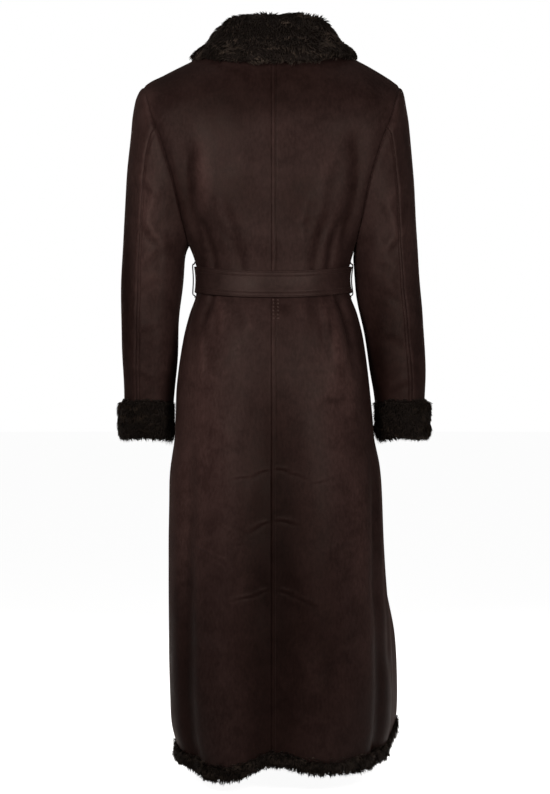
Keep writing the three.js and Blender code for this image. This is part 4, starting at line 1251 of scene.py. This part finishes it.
def rounded_strip(width, height, corner, along=26, grooves=()):
    """A closed section round a flat strip; grooves are the lines of stitching on its outer face."""
    half = height / 2 - corner
    beside = [np.array([g - 0.9, g, g + 0.9]) for g in grooves]
    y = np.unique(np.concatenate([np.linspace(-half, half, along), *beside]))
    dip = sum((0.55 * np.exp(-(((y - g) / 0.8) ** 2)) for g in grooves), np.zeros_like(y))
    quarter = np.linspace(0, math.pi / 2, 4)
    outer = np.stack([width / 2 - dip, y], axis=-1)
    inner = np.stack([np.full(9, -width / 2), np.linspace(half, -half, 9)], axis=-1)
    corners = []
    for k, (sx, sy) in enumerate(((1, 1), (-1, 1), (-1, -1), (1, -1))):
        turn = quarter[1:-1] + k * math.pi / 2
        middle = np.array([sx * (width / 2 - corner), sy * half])
        corners.append(middle + corner * np.stack([np.cos(turn), np.sin(turn)], axis=-1))
    return np.concatenate([outer, corners[0], corners[1], inner, corners[2], corners[3]])


# %% [markdown]
# The belt is a double strip with two rows of stitching near each edge. It lies on the cloth at the
# waist and dips a little at the back. Its knot and two hanging ends are at the front.

# %% The belt, its loops, knot and ends
BELT_STEPS = 300
BELT_ROWS_OF_STITCHES = (-19.5, -13.5, 13.5, 19.5)


def belt_z(angle):
    return BELT_Z - BELT_DIP * np.maximum(0, np.cos(angle)) ** 1.5


def belt_place(angle, up, off):
    """A point on the belt: up from its middle line, and off the cloth."""
    z = belt_z(angle)
    way = form_out(angle, z)
    way = unit(way * (1, 1, 0))
    return form(angle, z + up) + way * off[..., None]


strip = rounded_strip(BELT_THICKNESS, BELT_HEIGHT, 1.6, 30, BELT_ROWS_OF_STITCHES)
belt_angle = ((np.arange(BELT_STEPS) + 0.5) / BELT_STEPS * 2 * math.pi - math.pi)[:, None]
strip_off, strip_up = strip[None, :, 0], strip[None, :, 1]
sections = belt_place(belt_angle, strip_up, BELT_EASE + BELT_THICKNESS / 2 + strip_off + 0 * belt_angle)
way = unit(form_out(belt_angle + 0 * strip_up, belt_z(belt_angle) + 0 * strip_up) * (1, 1, 0))
sections = sections + way * (ripple(sections, 0.5) + 0.4)[..., None]
belt_piece = laid_ring("cloth_belt", sections)
finish_piece(belt_piece, belt_suede, ["belt"])

LOOP_ROUTE = table(
    "rise off", (31, 1.4), (28, 2.4), (25, 6.4), (12, 8), (-12, 8), (-25, 6.4), (-28, 2.4), (-31, 1.4)
)
LOOP_WIDTH, LOOP_THICKNESS, LOOP_ROWS = 9, 1.8, 40


def loop_sections(side):
    angle = np.array(side * math.pi / 2)
    stops = np.linspace(0, len(LOOP_ROUTE["rise"]) - 1, LOOP_ROWS)
    route = {"k": np.arange(len(LOOP_ROUTE["rise"]), dtype=float), **LOOP_ROUTE}
    rise, off = read(route, "rise", stops, "k"), read(route, "off", stops, "k")
    lean = np.arctan2(np.gradient(off), -np.gradient(rise))[:, None]
    z = belt_z(angle) + rise
    base = form(angle + 0 * z, z)
    base[:, 0] += side * (off + LOOP_THICKNESS / 2)
    edge = rounded_strip(LOOP_THICKNESS, LOOP_WIDTH, 0.5, 9)
    thick, wide = edge[None, :, 0], edge[None, :, 1]
    x = base[:, None, 0] + side * thick * np.cos(lean)
    return np.stack([x, base[:, None, 1] + wide + 0 * lean, base[:, None, 2] + thick * np.sin(lean)], axis=-1)


for label, side in SIDES:
    loop_piece = laid_sweep(f"cloth_belt_loop_{label}", loop_sections(side))
    finish_piece(loop_piece, loop_suede, [f"belt_loop_{label}"])

KNOT_PLEATS, KNOT_PLEAT_DEPTH = 9, 1.1
knot_spot = form(np.array(math.pi), np.array(BELT_Z))
knot_y = knot_spot[1] - (BELT_EASE + BELT_THICKNESS + KNOT_DEPTH / 2 + 1.9)


def knot_sections(across=56, around=72):
    place = np.linspace(-0.96, 0.96, across)[:, None]
    turn = (np.arange(around) / around * 2 * math.pi)[None, :]
    size = np.sqrt(1 - place**2) ** 0.6 * (1 + 0.1 * np.cos(place * 9))
    pleat = 1 + KNOT_PLEAT_DEPTH / (KNOT_HEIGHT / 2) * np.cos(turn * KNOT_PLEATS + place * 5) * (1 - place**2)
    up = np.sin(turn) * (KNOT_HEIGHT / 2) * size * (1 - 0.12 * place) * pleat
    out = np.sign(np.cos(turn)) * np.abs(np.cos(turn)) ** 0.8 * (KNOT_DEPTH / 2) * size * pleat
    return np.stack([place * KNOT_WIDTH / 2 + up * 0.22, knot_y - out * 0.9, BELT_Z + up], axis=-1)


finish_piece(laid_sweep("cloth_belt_knot", knot_sections()), belt_suede, ["belt_knot"])

BELT_ENDS = {"left": (1, 330, 26, -1.7), "right": (-1, 290, 20, 1.6)}  # side, length, slant, below
END_ROWS = 110


def end_sections(side, length, slant, below):
    edge = rounded_strip(BELT_THICKNESS, BELT_HEIGHT, 1.6, 26, BELT_ROWS_OF_STITCHES)
    down = np.linspace(0, 1, END_ROWS)[:, None]
    z = BELT_Z - KNOT_HEIGHT / 2 - below - length * down
    squeeze = mix(0.5, 1, smooth(0, 0.16, down))
    x = side * (12.5 + 11 * smooth(0, 0.16, down) + slant * down) + edge[None, :, 1] * squeeze
    angle = angle_at(x, z, True)
    rest, calm = skin(angle, z)[..., 1], form(angle, z)[..., 1]
    held = mix(knot_y + 1, np.minimum(rest, calm) - 5, smooth(0, 0.3, down))
    wave = 2.2 * np.sin(down * 7 + side) * squeeze * np.sin(edge[None, :, 1] / BELT_HEIGHT * 3)
    y = np.minimum(held, calm - 4.5) + np.minimum(0, wave) - edge[None, :, 0]
    return np.stack([x, y, z + side * edge[None, :, 1] * 0.05], axis=-1)


for label, facts in BELT_ENDS.items():
    end_piece = laid_sweep(f"cloth_belt_end_{label}", end_sections(*facts))
    finish_piece(end_piece, belt_suede, [f"belt_end_{label}"])

# %% [markdown]
# The fur pieces are made in two parts. A dark backing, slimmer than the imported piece, carries the
# shape, and thousands of short curved tufts stand on it. Each tuft starts steep and then bends along
# the pile. Slow swirls turn the pile and raise or flatten it, so that it lies in uneven clumps.

# %% Tufts
PILE_SINK = 4.6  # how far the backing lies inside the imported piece
TUFT_POINTS, TUFT_FLATNESS = 3, 0.4
TUFT_WAIST = 0.52  # how far along a tuft its second ring lies


def swirl(points, length, seed, waves=14):
    """A slow uneven field between about -1 and 1."""
    chance = np.random.default_rng(seed)
    ways = unit(chance.normal(size=(waves, 3)))
    ways = ways * (2 * math.pi / (length * chance.uniform(0.6, 1.7, (waves, 1))))
    starts = chance.uniform(0, 2 * math.pi, waves)
    return np.cos(points @ ways.T + starts).sum(axis=-1) / math.sqrt(waves)


def scattered(surface, count, chance):
    """Random places spread evenly over a grid of points, with what belongs to each."""
    points = surface["points"]
    a, b, c, d = points[:-1, :-1], points[1:, 1:], points[:-1, 1:], points[1:, :-1]
    cells = np.linalg.norm(np.cross(b - a, d - c), axis=-1) / 2
    if "weight" in surface:
        cells = cells * surface["weight"][:-1, :-1]
    ends = np.cumsum(cells.ravel())
    cell = np.searchsorted(ends, chance.uniform(0, ends[-1], count))
    cell = np.minimum(cell, cells.size - 1)
    r, c = np.divmod(cell, cells.shape[1])
    u, v = chance.uniform(size=(2, count, 1))
    found = {}
    for label in ("points", "out", "comb", "long", "bright"):
        grid = surface[label]
        low = mix(grid[r, c], grid[r, c + 1], u)
        high = mix(grid[r + 1, c], grid[r + 1, c + 1], u)
        found[label] = mix(low, high, v)
    return found


def grow_tufts(name, surface, count, thick, seed, finish=None, steep=(0.75, 0.16), turned=0.8, clump=34):
    """One mesh of curved three-sided tufts on a surface; their brightness and length go in a UV map."""
    chance = np.random.default_rng(seed)
    at = scattered(surface, count, chance)
    root, out, comb = at["points"], unit(at["out"]), at["comb"]
    comb = unit(comb - out * (comb * out).sum(axis=-1, keepdims=True))
    across = np.cross(out, comb)
    turn = turned * swirl(root, clump, seed + 1) + chance.normal(0, 0.2, count)
    comb = comb * np.cos(turn)[:, None] + across * np.sin(turn)[:, None]
    raised = 1 + 0.38 * swirl(root, clump * 0.8, seed + 2) + chance.normal(0, 0.1, count)
    raised = np.clip(raised, 0.3, 1.9)[:, None]
    length = at["long"] * np.clip(1 + 0.16 * swirl(root, clump * 0.6, seed + 3)[:, None], 0.6, 1.4)
    length = length * chance.uniform(0.72, 1.18, (count, 1))
    start = unit(out * steep[0] * raised + comb)
    end = unit(out * steep[1] * raised + comb)
    side = unit(np.cross(out, start))
    width = thick * chance.uniform(0.7, 1.25, (count, 1, 1))
    corners = np.arange(TUFT_POINTS) / TUFT_POINTS * 2 * math.pi
    rings = []
    for along, size in ((0.0, 1.0), (TUFT_WAIST, 0.7)):
        place = root + length * (start * along + (end - start) * along**2 / 2) - out * 0.6 * (along == 0)
        up = unit(np.cross(mix(start, end, along), side))
        ring = side[:, None] * np.cos(corners)[None, :, None]
        ring = ring + up[:, None] * np.sin(corners)[None, :, None] * TUFT_FLATNESS
        rings.append(place[:, None] + ring * width * size / 2)
    tip = (root + length * (start + end) / 2)[:, None]
    verts = np.concatenate([*rings, tip], axis=1)
    tip_corner = 2 * TUFT_POINTS
    faces = [(2, 1, 0)]
    for k in range(TUFT_POINTS):
        after = (k + 1) % TUFT_POINTS
        above, above_after = k + TUFT_POINTS, after + TUFT_POINTS
        faces += [(k, after, above_after), (k, above_after, above), (above, above_after, tip_corner)]
    piece, corner_of = joined_pieces(name, verts, faces)
    share = np.tile([0.0] * TUFT_POINTS + [TUFT_WAIST] * TUFT_POINTS + [1.0], count)
    wave = swirl(root * (1, 1, 2), clump * 0.7, seed + 4)
    # Random tone, plus the painted light and shade that the surface carries.
    bright = np.clip(0.5 + 0.3 * wave + at["bright"][:, 0] + chance.normal(0, 0.08, count), 0, 1)
    bright = np.repeat(bright, verts.shape[1])
    strand_map = piece.data.uv_layers.new(name="strand")
    strand_values = np.stack([bright[corner_of], share[corner_of]], axis=-1)
    strand_map.data.foreach_set("uv", strand_values.astype(np.float32).ravel())
    return finish_piece(piece, finish or fur)


def lumpy(sections, height, length, seed):
    """Raises and sinks a backing in slow uneven lumps, away from the middle of each section."""
    middle = sections.mean(axis=1, keepdims=True)
    return sections + unit(sections - middle) * (height * swirl(sections, length, seed))[..., None]


def surface_of(points, comb, long, weight=None, flip=1, bright=0.0):
    """A grid with its outward direction from its own two ways."""
    down, along = np.gradient(points, axis=0), np.gradient(points, axis=1)
    made = {"points": points, "out": unit(np.cross(along, down)) * flip, "comb": comb, "long": long}
    made["bright"] = np.zeros((*points.shape[:2], 1)) + bright
    if weight is not None:
        made["weight"] = weight
    return made


# %% [markdown]
# The cuffs are rings that stand proud of the sleeve ends and turn in at the lower edge.

# %% The fur cuffs
CUFF_PROFILE = table(
    "k down out",
    (0, 0, 0.35),
    (1, 0.03, 0.72),
    (2, 0.12, 0.96),
    (3, 0.5, 1),
    (4, 0.82, 0.98),
    (5, 0.95, 0.8),
    (6, 1, 0.45),
    (7, 0.96, 0.12),
    (8, 0.82, 0),
    (9, 0.3, 0),
    (10, 0.04, 0.08),
)
CUFF_STEPS, CUFF_POINTS = 120, 56
CUFF_TUFTS, CUFF_PILE = 6800, 11.0
CUFF_TOP_Z = CUFF_TOP - 5.3


def cuff_sections(side, sink):
    """Sections round the wrist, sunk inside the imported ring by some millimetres."""
    turn = (np.arange(CUFF_STEPS) / CUFF_STEPS * 2 * math.pi)[:, None]
    row = np.full_like(turn, SLEEVE_ROWS)
    middle, rim = sleeve_middle(turn, row, side), sleeve_form(turn, row, side)
    way = unit(rim - middle)
    room = mix(CUFF_PROUD, CUFF_INSIDE, smooth(0.5, 0.95, -way[..., 0] * side))
    k = np.linspace(0, 10, CUFF_POINTS)[None, :]
    down, out = read(CUFF_PROFILE, "down", k, "k"), read(CUFF_PROFILE, "out", k, "k")
    off = room - sink - (CUFF_THICKNESS - sink * 1.2) * (1 - np.clip(out, 0, 1))
    points = rim + way * off[..., None]
    points[..., 2] = mix(CUFF_TOP_Z - sink, CUFF_BOTTOM + sink, np.clip(down, 0, 1))
    points[..., 1] -= 3 * down
    return points


for label, side in SIDES:
    sections = lumpy(cuff_sections(side, PILE_SINK), 0.8, 26, 30 + side)
    base = laid_ring(f"backing_cuff_{label}", sections)
    finish_piece(base, backing, [f"cuff_fur_{label}"])
    looped = np.concatenate([sections, sections[:1]])
    around = unit((looped - looped.mean(axis=(0, 1))) * (1, 1, 0))
    order = np.arange(CUFF_POINTS)[None, :, None]
    comb = np.array([0, 0, 1.0]) * mix(0.7, -1.0, smooth(2, 8, order)) - around * 0.8 * smooth(22, 30, order)
    inner_side = smooth(0.5, 0.95, -side * around[..., :1])
    long = CUFF_PILE * mix(0.6, 1.0, smooth(0, 12, order) * smooth(42, 28, order)) * (1 + 0.45 * inner_side)
    weight = np.where(np.arange(CUFF_POINTS) < 38, 1.0, 0.25)[None, :] * np.ones(looped.shape[:2])
    # Painted light: the outer side and the lower rim of each cuff are lighter.
    bright = 0.26 * smooth(0.2, 0.9, side * around[..., :1]) + 0.24 * smooth(20, 27, order) - 0.06
    surface = surface_of(looped, comb, long, weight, flip=-side, bright=bright)
    facing = surface["points"] - surface["points"].mean(axis=(0, 1))
    if (surface["out"][:, CUFF_POINTS // 4] * facing[:, CUFF_POINTS // 4]).sum() < 0:
        surface["out"] = -surface["out"]
    tufts = grow_tufts(f"pile_cuff_{label}", surface, CUFF_TUFTS, 2.9, 40 + side, cuff_fur, clump=26)

# %% [markdown]
# The hem band is sewn on below the panels and runs all round. It is in three lengths, one for the back
# and one for each front.

# %% The fur hem
HEM_PILE, HEM_SECTION_POINTS = 9.5, 34
HEM_GAP = 0.3


def rounded_loop(width, height, points):
    """A closed rounded section, even round its length, from the middle of the top outwards."""
    turn = np.linspace(0, 2 * math.pi, points, endpoint=False) + math.pi / points
    x = np.sign(np.sin(turn)) * np.abs(np.sin(turn)) ** 0.55 * width / 2
    y = np.sign(np.cos(turn)) * np.abs(np.cos(turn)) ** 0.55 * height / 2
    return np.stack([x, y], axis=-1)


def hem_sections(first, last, steps, under, sink):
    """Sections of the band at angles round the body."""
    share = np.linspace(0, 1, steps)
    angle = mix(first, last, share)[:, None]
    z = PANEL_HEM + hem_lift(angle)
    out, centre = skin_out(angle, z), skin(angle, z)
    if under:
        centre = centre - out * underlap(centre)[..., None]
    out = unit(out * (1, 1, 0))
    centre = centre - out * WALL / 2
    centre[..., 2] -= HEM_HEIGHT / 2 + HEM_GAP / 2
    loop = rounded_loop(HEM_THICKNESS - 2 * sink, HEM_HEIGHT - 1.4 * sink, HEM_SECTION_POINTS)
    end = smooth(0, 0.03, share) * smooth(1, 0.97, share)
    size = mix(0.72, 1, end)[:, None, None]
    return centre + out * (loop[None, :, :1] * size) + np.array([0, 0, 1]) * (loop[None, :, 1:] * size), out


front_hem_edge = float(front_edge(np.array(PANEL_HEM)))
quarter_turn = math.pi / 2
HEM_BANDS = {  # first and last angle, sections, under the other front, tufts
    "hem_fur_back": (-quarter_turn, quarter_turn, 260, False, 6700),
    "hem_fur_front_left": (quarter_turn, front_hem_edge, 150, True, 3500),
    "hem_fur_front_right": (-quarter_turn, -front_hem_edge, 150, False, 3700),
}
for k, (name, (first, last, steps, under, count)) in enumerate(HEM_BANDS.items()):
    sections, out = hem_sections(first, last, steps, under, PILE_SINK)
    base = laid_sweep(f"backing_{name}", sections)
    finish_piece(base, backing, [name])
    looped = np.concatenate([sections, sections[:, :1]], axis=1)
    centre = sections.mean(axis=1, keepdims=True)
    comb = np.broadcast_to(np.array([0, 0, -1.0]), looped.shape) + out * 0.25
    outer = ((looped - centre) * out).sum(axis=-1)
    weight = np.where(outer > -1.5, 1.0, 0.35)
    surface = surface_of(looped, comb, np.full((*looped.shape[:2], 1), HEM_PILE), weight, bright=0.16)
    away = (surface["out"] * (looped - centre)).sum()
    surface["out"] = surface["out"] * (1 if away > 0 else -1)
    tufts = grow_tufts(f"pile_{name}", surface, count, 2.4, 60 + 5 * k, steep=(0.9, 0.4), clump=20)

# %% [markdown]
# The collar stands on the neckline, turns over and falls over the shoulders. In front it becomes a
# shawl that narrows to the belt. Its pile runs down the fall.

# %% The fur collar
COLLAR_STATIONS, COLLAR_SAMPLES = 75, 26  # on each side of the centre back, and across the collar
COLLAR_TUFTS, COLLAR_PILE, COLLAR_SINK = 16200, 9.5, 3.0
CORNER_RISE, CORNER_PLACE, FLANK_HOLLOW, EDGE_ROLL = 5.0, 1.75, 0.17, 2.6
CORNER_DROP = 10.0
PAINTED_PILE_PATCHES = table(  # at the back, painted highlights on the pile and one painted shade: middle, half-width, half-height, how much lighter
    "x z wide high lighter",
    (-94, 12, 22, 16, 0.75),
    (64, 32, 16, 10, 0.5),
    (12, 14, 44, 8, -0.5),
    (14, -5, 52, 6, 0.18),
    (70, -34, 26, 12, 0.2),
    (-20, -40, 70, 8, 0.14),
)


def neck_station(place, side):
    """A place on the neckline, with the ways across it and out of it."""
    if place <= COLLAR_SHOULDER:
        turn = place / COLLAR_SHOULDER * math.pi / 2
        x = NECK_HALF * math.sin(turn)
        y = NECK_DEPTH * math.cos(turn) - SHOULDER_FORWARD * (1 - math.cos(turn))
        at = np.array([side * x, y, float(top_edge(np.array(x)))])
        return at, np.array([0, 0, 1.0]), np.array([side * math.sin(turn), math.cos(turn), 0.0])
    down = (place - COLLAR_SHOULDER) / (COLLAR["place"][-1] - COLLAR_SHOULDER)
    z = np.array(mix(UNDERARM_Z, 0, (1 - math.cos(math.pi * (11 - down * 10) / 11)) / 2))
    at, free = skin(side * front_edge(z), z), skin_out(side * front_edge(z), z)
    if side > 0:
        at = at - free * underlap(at)
    ahead = unit(skin(side * front_edge(z - 4), z - 4) - skin(side * front_edge(z + 0.01), z + 0.01))
    turned = smooth(0, 0.34, down)
    across = mix(np.array([0, 0, 1.0]), side * unit(np.cross(ahead, free)), turned)
    return at, unit(across), unit(mix(np.array([side, 0, 0.0]), free, turned))


def collar_section(place, slim):
    """The two faces across the collar at a place, from the neck edge to the free edge."""
    rise, lean, reach, drop, stand, fall = (
        float(read(COLLAR, column, np.array(place), "place"))
        for column in ("rise", "lean", "reach", "drop", "stand", "fall")
    )
    stand, fall = max(stand - slim, 2.2), max(fall - slim, 2.6)
    rise += CORNER_RISE * math.exp(-(((place - CORNER_PLACE) / 0.45) ** 2))
    low_corner = math.exp(-(((place - 2.7) / 0.8) ** 2))
    drop, reach = drop - CORNER_DROP * low_corner, reach + 2 * low_corner
    hollow = FLANK_HOLLOW * float(smooth(1.2, 2.2, place) * smooth(5, 3.6, place))
    shape = table(
        "k up out thick",
        (0, 1.2, 0, stand),
        (1, rise * 0.5, -lean * 0.08, stand),
        (2, rise * 0.86, lean * 0.22, mix(stand, fall, 0.4)),
        (3, rise, lean, fall),
        (4, mix(rise, drop, 0.26), mix(lean, reach, 0.52 - hollow), fall),
        (5, mix(rise, drop, 0.62), mix(lean, reach, 0.84 - hollow), fall),
        (6, drop, reach, fall * 0.8),
    )
    k = np.linspace(0, 6 - 0.045 * slim, COLLAR_SAMPLES)
    up, out, thick = (read(shape, column, k, "k") for column in ("up", "out", "thick"))
    run = unit(np.stack([np.gradient(out), np.gradient(up)], axis=-1))
    square = np.stack([-run[:, 1], run[:, 0]], axis=-1)
    middle, off = np.stack([out, up], axis=-1), square * thick[:, None] / 2
    roll = EDGE_ROLL * (np.exp(-(((k - 5.35) / 0.5) ** 2)) - 0.8 * np.exp(-(((k - 4.3) / 0.45) ** 2)))
    tip = middle[-1] + run[-1] * fall * 0.35
    return middle + off + square * roll[:, None], tip[None], (middle - off)[::-1]


def collar_point(section, at, across, out, place):
    point = at + across * section[:, 1:] + out * section[:, :1]
    sway = COLLAR_SWAY * smooth(5, 2, place) * smooth(0, 24, np.maximum(section[:, 0], section[:, 1]))
    point[:, 0] -= sway
    return point


collar_rows = []
last_place = COLLAR["place"][-1]
for station in np.linspace(-1, 1, 2 * COLLAR_STATIONS + 1):
    side, place = (-1 if station < 0 else 1), abs(station) * last_place
    frame_here = neck_station(place, side)
    visible, tip, hidden = collar_section(place, 2 * COLLAR_SINK)
    loop = np.concatenate([visible, tip, hidden])
    collar_rows.append(collar_point(loop, *frame_here, place))
collar_rows = lumpy(np.array(collar_rows), 0.9, 34, 81)
collar_base = laid_sweep("backing_collar", collar_rows)
finish_piece(collar_base, backing, ["collar_fur"])
fur_face = collar_rows[:, : COLLAR_SAMPLES + 6]
down_fall = np.gradient(fur_face, axis=1)
across_share = np.arange(fur_face.shape[1])[None, :]
long = COLLAR_PILE * (0.55 + 0.45 * smooth(3, 11, across_share))
from_middle = np.abs(np.linspace(-last_place, last_place, len(fur_face)))
narrow = mix(0.55, 1, smooth(last_place, 5, from_middle))[:, None]
# Painted light along the collar's free edge and painted shade in a band above it; the patches below add
# painted highlights and one painted shade.
painted_edge_light = smooth(18, 22, across_share) * 0.16 - 0.12 * np.exp(-(((across_share - 16) / 2.5) ** 2))
painted_pile_light = painted_edge_light + 0.04
for at, height, wide, high, amount in zip(*PAINTED_PILE_PATCHES.values()):
    patch = np.exp(-(((fur_face[..., 0] - at) / wide) ** 2) - ((fur_face[..., 2] - height) / high) ** 2)
    painted_pile_light = painted_pile_light + amount * patch * smooth(0, 40, fur_face[..., 1])
collar_surface = surface_of(fur_face, down_fall, (long * narrow)[..., None], bright=painted_pile_light[..., None])
middle_row = len(fur_face) // 2
if collar_surface["out"][middle_row, 16] @ np.array([0, 1.0, 0]) < 0:
    collar_surface["out"] = -collar_surface["out"]
collar_pile = grow_tufts(
    "pile_collar", collar_surface, COLLAR_TUFTS, 3.1, 80, steep=(0.42, 0.02), turned=0.9, clump=44
)

# %% [markdown]
# Rows of stitches follow the seams at an even distance. One stitch is a short lozenge that dips into
# the cloth at both ends. Under the belt at the back, a stretch of the seam is sewn over more heavily.

# %% The stitching
PLAIN_STITCH = {"pitch": 4.2, "length": 3.0, "wide": 0.8, "proud": 0.4}
HEAVY_STITCH = {"pitch": 6.8, "length": 5.0, "wide": 4.2, "proud": 1.7}
HEAVY_ROWS = (3.5, 11.5)
HEAVY_FROM, HEAVY_TO = -478, -434


def stitch_row(path, out, pitch, length, wide, proud):
    """Corners of every stitch along a line."""
    run = np.concatenate([[0], np.cumsum(np.linalg.norm(np.diff(path, axis=0), axis=1))])
    places = np.arange(pitch / 2, run[-1], pitch)
    middle = np.stack([np.interp(places, run, path[:, k]) for k in range(3)], axis=-1)
    ahead = np.stack([np.interp(places + 1, run, path[:, k]) for k in range(3)], axis=-1)
    up = unit(np.stack([np.interp(places, run, out[:, k]) for k in range(3)], axis=-1))
    way = unit(ahead - middle + 1e-9)
    side = np.cross(up, way)
    ends = middle - way * length / 2 - up * 0.2, middle + way * length / 2 - up * 0.2
    belly = middle + up * proud, middle + side * wide / 2, middle - up * 0.5, middle - side * wide / 2
    return np.stack([*ends, *belly], axis=1)


def stitches(name, rows, finish=None):
    """All the stitches of one seam, as one joined mesh."""
    corners = np.concatenate(rows)
    faces = []
    for k in range(4):
        here, after = 2 + k, 2 + (k + 1) % 4
        faces += [(0, here, after), (1, after, here)]
    piece, _ = joined_pieces(name, corners, faces)
    edit(piece, lambda: bpy.ops.mesh.normals_make_consistent(inside=False))
    return finish_piece(piece, finish or thread)


stitches("stitches_back", [stitch_row(*row_at(*PANELS["back_right"], BACK_TOPSTITCH), **PLAIN_STITCH)])
heavy_rows = []
for distance in HEAVY_ROWS:
    line, line_out = row_at(*PANELS["back_right"], distance)
    heavy = (line[:, 2] > HEAVY_FROM) & (line[:, 2] < HEAVY_TO)
    heavy_rows.append(stitch_row(line[heavy], line_out[heavy], **HEAVY_STITCH))
stitches("stitches_back_heavy", heavy_rows, heavy_thread)
for label in ("left", "right"):
    front_line = row_at(*PANELS[f"front_{label}"], FRONT_TOPSTITCH)
    stitches(f"stitches_front_{label}", [stitch_row(*front_line, **PLAIN_STITCH)])
    sleeve_line, sleeve_up = row_at(*SLEEVES[f"sleeve_under_{label}"], SLEEVE_TOPSTITCH)
    stitches(f"stitches_sleeve_{label}", [stitch_row(sleeve_line[2:], sleeve_up[2:], **PLAIN_STITCH)])

belt_outer = BELT_EASE + BELT_THICKNESS
belt_rows = []
for up in BELT_ROWS_OF_STITCHES:
    turn = np.linspace(-math.pi, math.pi, 400)
    line = belt_place(turn, np.full_like(turn, up), np.full_like(turn, belt_outer))
    line_out = unit(form_out(turn, belt_z(turn)) * (1, 1, 0))
    line = line + line_out * (ripple(line, 0.5) + 0.1)[:, None]
    belt_rows.append(stitch_row(line, line_out, **PLAIN_STITCH))
stitches("stitches_belt", belt_rows)
